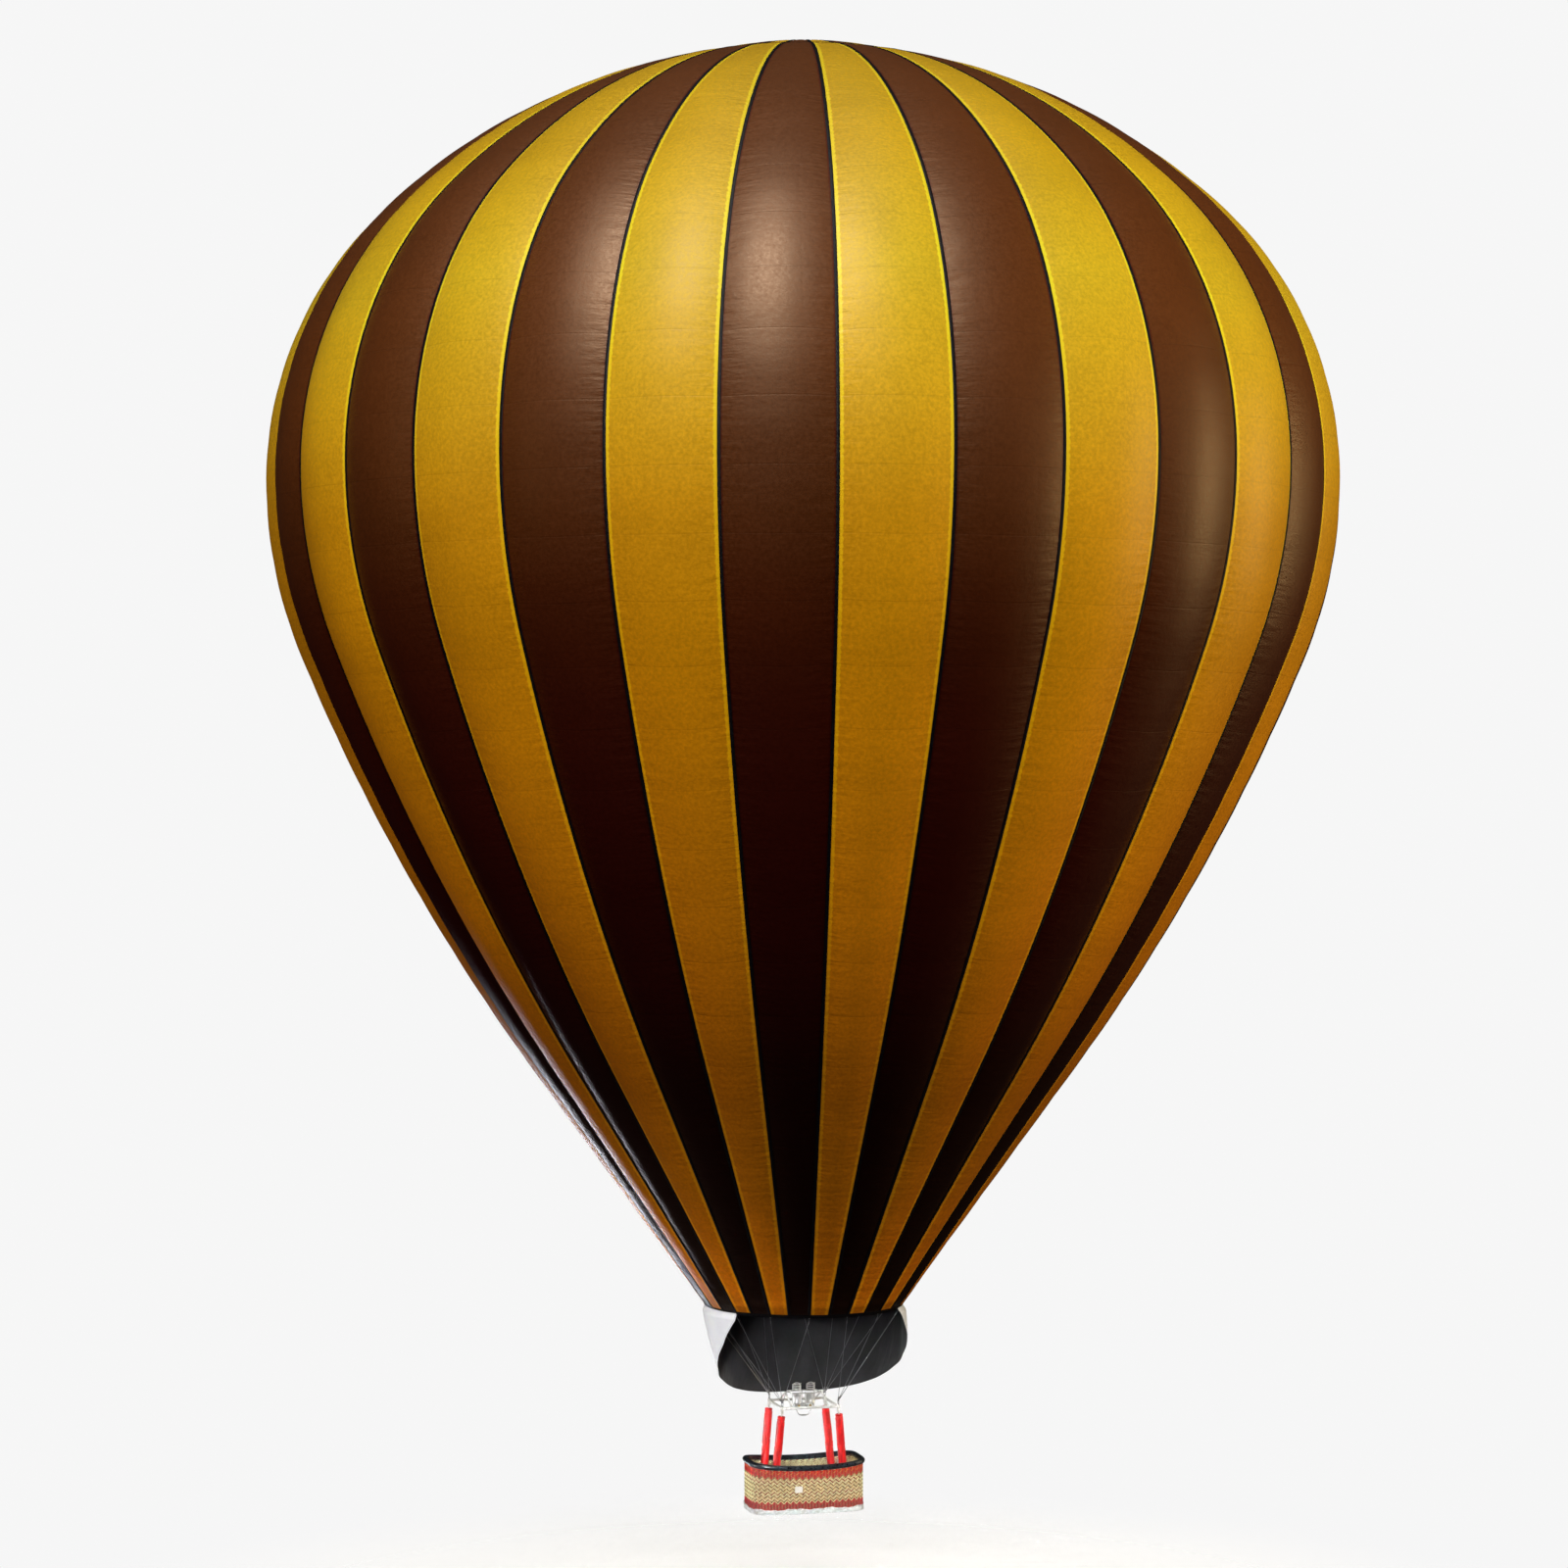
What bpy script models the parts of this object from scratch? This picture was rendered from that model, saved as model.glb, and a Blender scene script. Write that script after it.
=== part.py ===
"""Hot air balloon: envelope, scoop, rigging, burner and wicker basket.

Units are metres and +Z is up. The origin is the centre of the envelope's widest ring,
on the vertical axis of the balloon. The front is -Y and the right-hand side is +X.
An azimuth is an angle about the axis, from -Y towards +X.
"""
import math

import bmesh
import bpy
import numpy as np
from mathutils import Vector

# Envelope: a chain of arcs from the crown, then a cone to the mouth whose last part is the hem
ENVELOPE_RADIUS = 10.0
SHOULDER_RADIUS = 6.90
SHOULDER_ANGLE = math.radians(46.7)
BELLY_RADIUS = 8.46
BELLY_ANGLE = math.radians(22.3)
FLANK_RADIUS = 36.993
FLANK_ANGLE = math.radians(13.8)
MOUTH_RADIUS = 1.84
HEM_HEIGHT = 0.35
HEM_BAND = 0.06
FABRIC = 0.010
GORES = 32
GORE_ANGLE = 2 * math.pi / GORES
SEAM_DEPTH = 0.16
GAP = 0.0003

# Crown: the vent, the valve under it, and the ring that gathers the load tapes
VENT_RADIUS = 2.30
VENT_BAND = 0.50
VALVE_OVERLAP = 0.15
HUB_INNER, HUB_OUTER = 0.14, 0.34
VALVE_ROW = 1.30
CROWN_RING_RADIUS = 0.24
CROWN_RING_TUBE = 0.016

# Load tapes
TAPE_WIDTH = 0.070
TAPE_THICKNESS = 0.012
TAPE_LIFT = 0.0006
TAPE_STANDOFF = 0.008
TAPE_CROWDING = 0.36
HOOP_HEIGHT = 0.08

# Scoop: a sheet that hangs round the back of the mouth
SCOOP_START = 5 * GORE_ANGLE
SCOOP_DROP = 1.95
SCOOP_CURVE = 2.5
SCOOP_TOP_RADIUS = 1.8652
SCOOP_FLARE_RADIUS = 1.94
SCOOP_LOW_RADIUS = 1.60
SCOOP_LAP = 0.15
SCOOP_ROWS = 5

# Basket
BASKET_BOTTOM = -19.21
BASKET_LENGTH = 2.17
BASKET_WIDTH = 1.22
BASKET_HEIGHT = 1.00
BASKET_ROUNDING = 4.5
BASKET_POINTS = 40
RIM_DIP = 0.07
RIM_RADIUS = 0.045
WALL = 0.040
RUNNER_HEIGHT = 0.04
RUNNER_WIDTH = 0.07
RUNNER_LENGTH = 1.70
RUNNER_SPACING = 0.64
FLOOR_THICKNESS = 0.030
HIDE_HEIGHT = 0.17
HIDE_THICKNESS = 0.008
PLATE_SIZE = (0.15, 0.006, 0.12)
PLATE_CENTRE = (-0.25, 0.50)

# Gas cylinders stand at both ends of the basket
CYLINDER_RADIUS = 0.14
CYLINDER_HEIGHT = 0.66
CYLINDER_PLACE = (0.81, 0.27)
COLLAR_RADIUS = 0.09
COLLAR_HEIGHT = 0.12

# Burner frame and its uprights
FRAME_Z = -17.21
FRAME_HALF = (0.54, 0.50)
FRAME_TUBE = 0.025
SOCKET_RADIUS = 0.032
SOCKET_UP, SOCKET_DOWN = 0.035, 0.10
UPRIGHT_FOOT = (0.712, 0.400)
ROD_RADIUS = 0.015
COVER_RADIUS = 0.074
COVER_START = 0.14
COVER_BELOW_RIM = 0.30
BRACKET_X = 0.35
BRACKET_HEIGHT = 0.22
BRACKET_TUBE = 0.016
LUG_WIDTH, LUG_HEIGHT = 0.11, 0.11
LUG_TUBE = 0.010

# Burner: two coils over two cans on one block, hung in a ring that tilts both ways
PIVOT_Z = FRAME_Z + BRACKET_HEIGHT
RING_HALF = (0.29, 0.17)
RING_TUBE = 0.012
BURNER_X = 0.135
CAN_RADIUS = 0.085
CAN_WALL = 0.004
CAN_TOP = -0.03
COIL_RADIUS = 0.078
COIL_TUBE = 0.009
COIL_TURNS = 4
COIL_LOW, COIL_HIGH = 0.00, 0.17
BLOCK_SIZE = (0.40, 0.10, 0.07)
BLOCK_TOP = -0.21
HANDLE_HALF_WIDTH = 0.14
HANDLE_DROP = 0.16

# Flying wires: four to each corner of the burner frame
WIRE_RADIUS = 0.006
WIRE_TAIL = 0.06
WIRE_INSET = 0.001
WIRE_BEAD_RADIUS = 0.022
WIRE_BEAD_HEIGHT = 0.10

COLOURS = {
    "yellow_fabric": ((0.745, 0.479, 0.030), 0.55, 0.0),
    "brown_fabric": ((0.120, 0.032, 0.012), 0.55, 0.0),
    "black_webbing": ((0.012, 0.011, 0.012), 0.80, 0.0),
    "charcoal_fabric": ((0.030, 0.029, 0.032), 0.75, 0.0),
    "steel": ((0.620, 0.620, 0.610), 0.28, 1.0),
    "white_frame": ((0.780, 0.780, 0.770), 0.35, 0.0),
    "red_cover": ((0.560, 0.012, 0.014), 0.65, 0.0),
    "nylon_rod": ((0.700, 0.690, 0.640), 0.45, 0.0),
    "wicker": ((0.560, 0.420, 0.220), 0.70, 0.0),
    "rim_leather": ((0.012, 0.018, 0.040), 0.42, 0.0),
    "base_hide": ((0.560, 0.590, 0.620), 0.60, 0.0),
    "plywood": ((0.450, 0.300, 0.160), 0.65, 0.0),
    "grey_cylinder": ((0.420, 0.430, 0.440), 0.40, 0.6),
    "white_plate": ((0.850, 0.850, 0.850), 0.40, 0.0),
}


def clear_scene():
    """Empties the file of objects, meshes and materials."""
    for thing in list(bpy.data.objects):
        bpy.data.objects.remove(thing)
    for mesh in list(bpy.data.meshes):
        bpy.data.meshes.remove(mesh)
    for material in list(bpy.data.materials):
        bpy.data.materials.remove(material)


def finish(name):
    """Returns the material of that name, made from its row in COLOURS."""
    material = bpy.data.materials.get(name)
    if material is None:
        colour, roughness, metallic = COLOURS[name]
        material = bpy.data.materials.new(name)
        material.use_nodes = True
        shader = material.node_tree.nodes["Principled BSDF"]
        shader.inputs["Base Color"].default_value = (*colour, 1.0)
        shader.inputs["Roughness"].default_value = roughness
        shader.inputs["Metallic"].default_value = metallic
    return material


def mesh_object(name, vertices, faces, material, parent=None, sharp=35):
    """Makes one named object; its points are given in world space, under an empty or not."""
    mesh = bpy.data.meshes.new(name)
    home = Vector(parent.location) if parent else Vector()
    mesh.from_pydata([tuple(Vector(v) - home) for v in vertices], [], [tuple(f) for f in faces])
    mesh.validate()
    mesh.shade_smooth()
    mesh.set_sharp_from_angle(angle=math.radians(sharp))
    mesh.materials.append(finish(material))
    thing = bpy.data.objects.new(name, mesh)
    bpy.context.scene.collection.objects.link(thing)
    thing.parent = parent
    return thing


def pivot(name, place):
    """Adds an empty on a joint's axis, which carries the pieces that move with it."""
    empty = bpy.data.objects.new(name, None)
    empty.location = place
    bpy.context.scene.collection.objects.link(empty)
    return empty


def shell_mesh(outer, inner, cells, wrap, pole=False):
    """Closed wall between two grids of points, where the table of cells is true.

    outer and inner are arrays of rows, columns and coordinates. Rows run from the top down
    and columns run with the azimuth. Each cell has an outer and an inner face, and a side
    face wherever its neighbour is missing. With pole, the first row is closed by a fan.
    """
    rows, columns = outer.shape[:2]
    count = rows * columns
    vertices = list(outer.reshape(-1, 3)) + list(inner.reshape(-1, 3))
    spans = columns if wrap else columns - 1

    def at(row, column, side):
        return side * count + row * columns + column % columns

    def solid(row, column):
        if row < 0 or row >= rows - 1:
            return False
        if wrap:
            column %= columns
        elif column < 0 or column >= spans:
            return False
        return bool(cells[row][column])

    faces = []
    for row in range(rows - 1):
        for column in range(spans):
            if not solid(row, column):
                continue
            a, b = (row, column), (row, column + 1)
            c, d = (row + 1, column + 1), (row + 1, column)
            faces.append([at(*p, 0) for p in (a, d, c, b)])
            faces.append([at(*p, 1) for p in (a, b, c, d)])
            sides = (((row - 1, column), a, b), ((row, column + 1), b, c),
                     ((row + 1, column), c, d), ((row, column - 1), d, a))
            for neighbour, p, q in sides:
                closed_by_fan = pole and neighbour[0] < 0
                if not solid(*neighbour) and not closed_by_fan:
                    faces.append([at(*p, 0), at(*q, 0), at(*q, 1), at(*p, 1)])
    if pole:
        for side, grid in ((0, outer), (1, inner)):
            tip = len(vertices)
            vertices.append(grid[0].mean(axis=0) * (0, 0, 1))
            for column in range(columns):
                pair = [at(0, column, side), at(0, column + 1, side)]
                faces.append([tip] + (pair if side == 0 else pair[::-1]))
    used = sorted({index for face in faces for index in face})
    renumber = {old: new for new, old in enumerate(used)}
    return [vertices[i] for i in used], [[renumber[i] for i in face] for face in faces]


def tube_mesh(points, radius, sides, closed=False):
    """Round tube along a path, with mitred bends; its ends are capped unless it is a loop.

    Each ring is a circle square to the run before it, slid along that run on to the plane
    that halves the bend. The circle's first direction turns with the path, without twist.
    """
    path = np.asarray(points, float)
    count = len(path)
    runs = np.roll(path, -1, axis=0) - path
    runs = runs / np.maximum(np.linalg.norm(runs, axis=1)[:, None], 1e-12)
    before = np.roll(runs, 1, axis=0)
    after = runs.copy()
    if not closed:
        before[0] = runs[0]
        after[-1] = runs[-2]
    start = np.array((0.0, 0.0, 1.0)) if abs(before[0][2]) < 0.9 else np.array((1.0, 0.0, 0.0))
    across = np.cross(before[0], start)
    across /= np.linalg.norm(across)
    angles = np.arange(sides) * 2 * math.pi / sides
    rings = []
    for point, old, new in zip(path, before, after):
        up = np.cross(old, across)
        circle = radius * (np.cos(angles)[:, None] * across + np.sin(angles)[:, None] * up)
        halving = old + new
        slide = -(circle @ halving) / (old @ halving)
        rings.append(point + circle + slide[:, None] * old)
        across = across - (across @ new) / (1 + old @ new) * halving
    faces = []
    for ring in range(count if closed else count - 1):
        for side in range(sides):
            low, high = ring * sides, (ring + 1) % count * sides
            nxt = (side + 1) % sides
            faces.append([low + side, low + nxt, high + nxt, high + side])
    if not closed:
        faces.append(list(range(sides))[::-1])
        faces.append([(count - 1) * sides + side for side in range(sides)])
    return np.concatenate(rings), faces


def rod_mesh(start, end, radius, sides=10):
    """Straight round rod between two points."""
    return tube_mesh([start, end], radius, sides)


def box_mesh(low, high):
    """Plain box between two corners."""
    x, y, z = zip(low, high)
    vertices = [(x[i], y[j], z[k]) for i in (0, 1) for j in (0, 1) for k in (0, 1)]
    faces = [(0, 1, 3, 2), (4, 6, 7, 5), (0, 4, 5, 1), (2, 3, 7, 6), (0, 2, 6, 4), (1, 5, 7, 3)]
    return vertices, faces


def turned_mesh(profile, centre, sides):
    """Solid of revolution about the vertical line through centre.

    profile is a closed outline of (radius, height) points that goes down the outer side
    and back up the axis or the bore; points on the axis become single vertices.
    """
    vertices, rings = [], []
    for radius, height in profile:
        if radius < 1e-9:
            rings.append([len(vertices)] * sides)
            vertices.append((centre[0], centre[1], centre[2] + height))
            continue
        rings.append(list(range(len(vertices), len(vertices) + sides)))
        for k in range(sides):
            angle = 2 * math.pi * k / sides
            vertices.append((centre[0] + radius * math.cos(angle),
                             centre[1] + radius * math.sin(angle), centre[2] + height))
    faces = []
    for upper, lower in zip(rings, rings[1:] + rings[:1]):
        for k in range(sides):
            nxt = (k + 1) % sides
            corners = [upper[k], lower[k], lower[nxt], upper[nxt]]
            face = [c for i, c in enumerate(corners) if c not in corners[:i]]
            if len(face) > 2:
                faces.append(face)
    return vertices, faces


def fused(name, parts, material, parent=None):
    """Joins closed meshes that overlap into one body, by a union of all of them."""
    base = mesh_object(name, *parts[0], material, parent)
    helpers = []
    for index, (vertices, faces) in enumerate(parts[1:]):
        helper = mesh_object(f"{name}_add{index}", vertices, faces, material, parent)
        union = base.modifiers.new(f"add{index}", "BOOLEAN")
        union.operation = "UNION"
        union.solver = "EXACT"
        union.object = helper
        helpers.append(helper)
    bpy.context.view_layer.update()
    graph = bpy.context.evaluated_depsgraph_get()
    mesh = bpy.data.meshes.new_from_object(base.evaluated_get(graph))
    base.modifiers.clear()
    base.data = mesh
    mesh.name = name
    for helper in helpers:
        bpy.data.objects.remove(helper)
    work = bmesh.new()
    work.from_mesh(mesh)
    bmesh.ops.remove_doubles(work, verts=work.verts, dist=2e-5)
    bmesh.ops.dissolve_degenerate(work, edges=work.edges, dist=1e-5)
    work.to_mesh(mesh)
    work.free()
    mesh.shade_smooth()
    mesh.set_sharp_from_angle(angle=math.radians(35))
    return base


def envelope_arcs():
    """Arcs of the envelope's outline: centre, radius, first and last angle below the horizontal."""
    shoulder = (ENVELOPE_RADIUS - SHOULDER_RADIUS, 0.0)
    reach = shoulder[0] + SHOULDER_RADIUS * math.cos(SHOULDER_ANGLE)
    cap_radius = reach / math.cos(SHOULDER_ANGLE)
    cap = (0.0, (SHOULDER_RADIUS - cap_radius) * math.sin(SHOULDER_ANGLE))
    belly = (ENVELOPE_RADIUS - BELLY_RADIUS, 0.0)
    inset = BELLY_RADIUS - FLANK_RADIUS
    flank = (belly[0] + inset * math.cos(BELLY_ANGLE), -inset * math.sin(BELLY_ANGLE))
    return [(cap, cap_radius, -math.pi / 2, -SHOULDER_ANGLE),
            (shoulder, SHOULDER_RADIUS, -SHOULDER_ANGLE, 0.0),
            (belly, BELLY_RADIUS, 0.0, BELLY_ANGLE),
            (flank, FLANK_RADIUS, BELLY_ANGLE, BELLY_ANGLE + FLANK_ANGLE)]


ARCS = envelope_arcs()
CONE_ANGLE = BELLY_ANGLE + FLANK_ANGLE
ARC_LENGTHS = [radius * (last - first) for _, radius, first, last in ARCS]
CONE_TOP_S = sum(ARC_LENGTHS)
CONE_TOP_RADIUS = ARCS[-1][0][0] + FLANK_RADIUS * math.cos(CONE_ANGLE)
CONE_TOP_Z = ARCS[-1][0][1] - FLANK_RADIUS * math.sin(CONE_ANGLE)
CONE_LENGTH = (CONE_TOP_RADIUS - MOUTH_RADIUS) / math.sin(CONE_ANGLE)
MOUTH_S = CONE_TOP_S + CONE_LENGTH
HEM_S = MOUTH_S - HEM_HEIGHT
MOUTH_Z = CONE_TOP_Z - CONE_LENGTH * math.cos(CONE_ANGLE)
CAP_RADIUS = ARCS[0][1]
VENT_S = CAP_RADIUS * math.asin(VENT_RADIUS / CAP_RADIUS)
VALVE_S = VENT_S + VALVE_OVERLAP
BAND_S = VENT_S + VENT_BAND


def outline(s):
    """Radius, height and outward normal of the envelope's outline, a length s from the crown."""
    for (centre, radius, first, last), length in zip(ARCS, ARC_LENGTHS):
        if s <= length:
            angle = first + s / radius
            normal = (math.cos(angle), -math.sin(angle))
            return centre[0] + radius * normal[0], centre[1] + radius * normal[1], normal
        s -= length
    normal = (math.cos(CONE_ANGLE), -math.sin(CONE_ANGLE))
    return CONE_TOP_RADIUS - s * math.sin(CONE_ANGLE), CONE_TOP_Z - s * math.cos(CONE_ANGLE), normal


def seam_depth(s):
    """How far the seams lie below the middle of the gores, which is nothing at both ends."""
    part = min(max((s - BAND_S) / (HEM_S - BAND_S), 0.0), 1.0)
    return SEAM_DEPTH * math.sin(math.pi * part) ** 0.8


def skin(s, azimuth, lift, shift=0.0):
    """Point of the bulging skin; each gore rises as a parabola between its two seams.

    lift is a height above the skin, and shift moves the point sideways along its ring.
    """
    radius, height, normal = outline(s)
    across = azimuth / GORE_ANGLE % 1.0
    out = lift - seam_depth(s) * (2 * across - 1) ** 2
    reach = radius + out * normal[0]
    turn = azimuth + shift / radius
    return (reach * math.sin(turn), -reach * math.cos(turn), height + out * normal[1])


def gore_rows():
    """Lengths from the crown at which the gores have their rings of points."""
    shoulder_s = ARC_LENGTHS[0]
    equator_s = shoulder_s + ARC_LENGTHS[1]
    belly_s = equator_s + ARC_LENGTHS[2]
    spans = ((BAND_S, shoulder_s, 2), (shoulder_s, equator_s, 3), (equator_s, belly_s, 2),
             (belly_s, CONE_TOP_S, 3), (CONE_TOP_S, HEM_S, 1))
    rows = []
    for start, end, parts in spans:
        rows += [start + (end - start) * k / parts for k in range(parts)]
    return rows + [HEM_S]


def gore_columns(first):
    """Azimuth and sideways shift of each column, for every second gore from the first.

    Each pair of gores gives four columns: this gore's edge, middle and other edge, and the
    middle of the gore beside it, which only the joining band uses. The shifts leave half a
    gap on each side of a seam.
    """
    columns = []
    for gore in range(first, first + GORES, 2):
        for step, side in ((0.0, 0.5), (0.5, 0.0), (1.0, -0.5), (1.5, 0.0)):
            columns.append(((gore + step) * GORE_ANGLE, side * GAP))
    return columns


def build_gores(name, first, rows, band_rows, material):
    """Half of the gores as one skin, joined by a band that runs over all of the azimuths."""
    columns = gore_columns(first)

    outer = np.array([[skin(s, azimuth, 0.0, shift) for azimuth, shift in columns] for s in rows])
    inner = np.array([[skin(s, azimuth, -FABRIC, shift) for azimuth, shift in columns] for s in rows])
    cells = [[row in band_rows or column % 4 < 2 for column in range(len(columns))]
             for row in range(len(rows) - 1)]
    vertices, faces = shell_mesh(outer, inner, cells, wrap=True)
    return mesh_object(name, vertices, faces, material, sharp=60)


def build_envelope():
    """Yellow gores joined round the vent, and brown gores joined at the mouth."""
    rows = gore_rows()
    yellow = [VENT_S, VALVE_S] + rows + [MOUTH_S - HEM_BAND - GAP]
    build_gores("gores_yellow", 1, yellow, {0, 1}, "yellow_fabric")
    brown = [BAND_S + GAP] + rows[1:] + [MOUTH_S - HEM_BAND, MOUTH_S]
    build_gores("gores_brown", 0, brown, {len(brown) - 2}, "brown_fabric")


def build_load_tapes():
    """One tape along every seam, gathered by a hub at the crown and a hoop at the mouth.

    A tape lies across the groove between two gores, just clear of both. Each gore gives
    three columns: the sides of its tape, and its middle, which only hub and hoop use.
    """
    rows = [HUB_INNER, HUB_OUTER, VALVE_ROW, VENT_S, VALVE_S]
    rows += gore_rows() + [MOUTH_S - HOOP_HEIGHT, MOUTH_S]
    columns = [(gore, side) for gore in range(GORES) for side in (-1, 1, 0)]

    def point(s, column, lift):
        gore, side = column
        gore_width = outline(s)[0] * GORE_ANGLE
        half_width = min(TAPE_WIDTH / 2, TAPE_CROWDING * gore_width)
        rise = seam_depth(s) * half_width / (gore_width / 2)
        standoff = TAPE_STANDOFF if BAND_S <= s <= HEM_S else 0.0
        azimuth = (gore if side else gore + 0.5) * GORE_ANGLE
        return skin(s, azimuth, TAPE_LIFT + lift + rise + standoff, side * half_width)

    outer = np.array([[point(s, column, TAPE_THICKNESS) for column in columns] for s in rows])
    inner = np.array([[point(s, column, 0.0) for column in columns] for s in rows])
    last = len(rows) - 2
    cells = [[row in (0, last) or column % 3 == 0 for column in range(len(columns))]
             for row in range(len(rows) - 1)]
    vertices, faces = shell_mesh(outer, inner, cells, wrap=True)
    mesh_object("load_tapes", vertices, faces, "black_webbing", sharp=60)


def build_crown():
    """The valve that closes the vent from below, and the ring on top of the tapes."""
    carrier = pivot("valve_slide", (0.0, 0.0, outline(0.0)[1]))
    rows = [HUB_OUTER, VALVE_ROW, VENT_S, VALVE_S]
    azimuths = [k * GORE_ANGLE for k in range(GORES)]
    top = -FABRIC - 2 * GAP
    outer = np.array([[skin(s, a, top) for a in azimuths] for s in rows])
    inner = np.array([[skin(s, a, top - FABRIC) for a in azimuths] for s in rows])
    cells = [[True] * len(azimuths)] * (len(rows) - 1)
    vertices, faces = shell_mesh(outer, inner, cells, wrap=True, pole=True)
    mesh_object("parachute_valve", vertices, faces, "yellow_fabric", carrier, sharp=60)

    hub_top = outline(CROWN_RING_RADIUS)[1] + TAPE_LIFT + TAPE_THICKNESS
    height = hub_top + CROWN_RING_TUBE + GAP
    ring = [(CROWN_RING_RADIUS * math.cos(a), CROWN_RING_RADIUS * math.sin(a), height)
            for a in (2 * math.pi * k / 24 for k in range(24))]
    mesh_object("crown_ring", *tube_mesh(ring, CROWN_RING_TUBE, 8, closed=True), "steel")


def scoop_point(azimuth, row, lift):
    """Point of the scoop; row 0 is its upper edge and the last row is its hanging edge."""
    turn = azimuth if azimuth < math.pi else 2 * math.pi - azimuth
    part = (turn - SCOOP_START) / (math.pi - SCOOP_START)
    drop = SCOOP_DROP * (1 - (1 - part) ** SCOOP_CURVE)
    if row == 0:
        radius, height = SCOOP_TOP_RADIUS + SCOOP_LAP * math.tan(CONE_ANGLE), MOUTH_Z + SCOOP_LAP
    elif row == 1:
        radius, height = SCOOP_TOP_RADIUS, MOUTH_Z
    else:
        fall = 0.10 + drop * (row - 1) / (SCOOP_ROWS - 1)
        taper = max(fall - 0.10, 0.0) / SCOOP_DROP
        radius = SCOOP_FLARE_RADIUS + (SCOOP_LOW_RADIUS - SCOOP_FLARE_RADIUS) * taper
        height = MOUTH_Z - fall
    reach = radius + lift
    return (reach * math.sin(azimuth), -reach * math.cos(azimuth), height)


def build_scoop():
    """Sheet from the mouth's hem down, open to the front and longest at the back."""
    columns = int(round((2 * math.pi - 2 * SCOOP_START) / GORE_ANGLE)) + 1
    azimuths = [SCOOP_START + k * GORE_ANGLE for k in range(columns)]
    rows = range(SCOOP_ROWS + 1)
    outer = np.array([[scoop_point(a, row, FABRIC) for a in azimuths] for row in rows])
    inner = np.array([[scoop_point(a, row, 0.0) for a in azimuths] for row in rows])
    cells = [[True] * (columns - 1)] * SCOOP_ROWS
    vertices, faces = shell_mesh(outer, inner, cells, wrap=False)
    mesh_object("scoop", vertices, faces, "charcoal_fabric", sharp=60)


CORNERS = (("front_left", -1, -1), ("front_right", 1, -1), ("back_left", -1, 1), ("back_right", 1, 1))
FLOOR_TOP = BASKET_BOTTOM + RUNNER_HEIGHT + GAP + FLOOR_THICKNESS
RIM_TOP = BASKET_BOTTOM + BASKET_HEIGHT
WALL_TOP = RIM_TOP - 2 * RIM_RADIUS


def frame_corner(side_x, side_y):
    """Centre of a corner of the burner frame."""
    return np.array((side_x * FRAME_HALF[0], side_y * FRAME_HALF[1], FRAME_Z))


def upright_direction(side_x, side_y):
    """Direction from a corner of the burner frame down to the foot of its upright."""
    foot = np.array((side_x * UPRIGHT_FOOT[0], side_y * UPRIGHT_FOOT[1], FLOOR_TOP))
    line = foot - frame_corner(side_x, side_y)
    return line / np.linalg.norm(line), np.linalg.norm(line)


def build_uprights():
    """Four rods from the burner frame to the basket's floor, each in a padded cover."""
    for name, side_x, side_y in CORNERS:
        corner = frame_corner(side_x, side_y)
        down, length = upright_direction(side_x, side_y)
        lean = math.sqrt(1 - down[2] ** 2)
        end = length - (GAP + ROD_RADIUS * lean) / abs(down[2])
        rod = rod_mesh(corner + down * (SOCKET_DOWN + GAP), corner + down * end, ROD_RADIUS, 12)
        mesh_object(f"upright_rod_{name}", *rod, "nylon_rod")
        cover_end = (FRAME_Z - RIM_TOP + COVER_BELOW_RIM) / abs(down[2])
        outside = tube_mesh([corner + down * COVER_START, corner + down * cover_end],
                            COVER_RADIUS, 12)
        bore = tube_mesh([corner + down * COVER_START, corner + down * cover_end],
                         ROD_RADIUS + GAP, 12)
        vertices = list(outside[0]) + list(bore[0])
        faces = [face for face in outside[1][:-2]]
        faces += [[12 * 2 + i for i in face[::-1]] for face in bore[1][:-2]]
        for side in range(12):
            nxt = (side + 1) % 12
            faces.append([nxt, side, 24 + side, 24 + nxt])
            faces.append([12 + side, 12 + nxt, 36 + nxt, 36 + side])
        mesh_object(f"upright_cover_{name}", vertices, faces, "red_cover")


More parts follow.
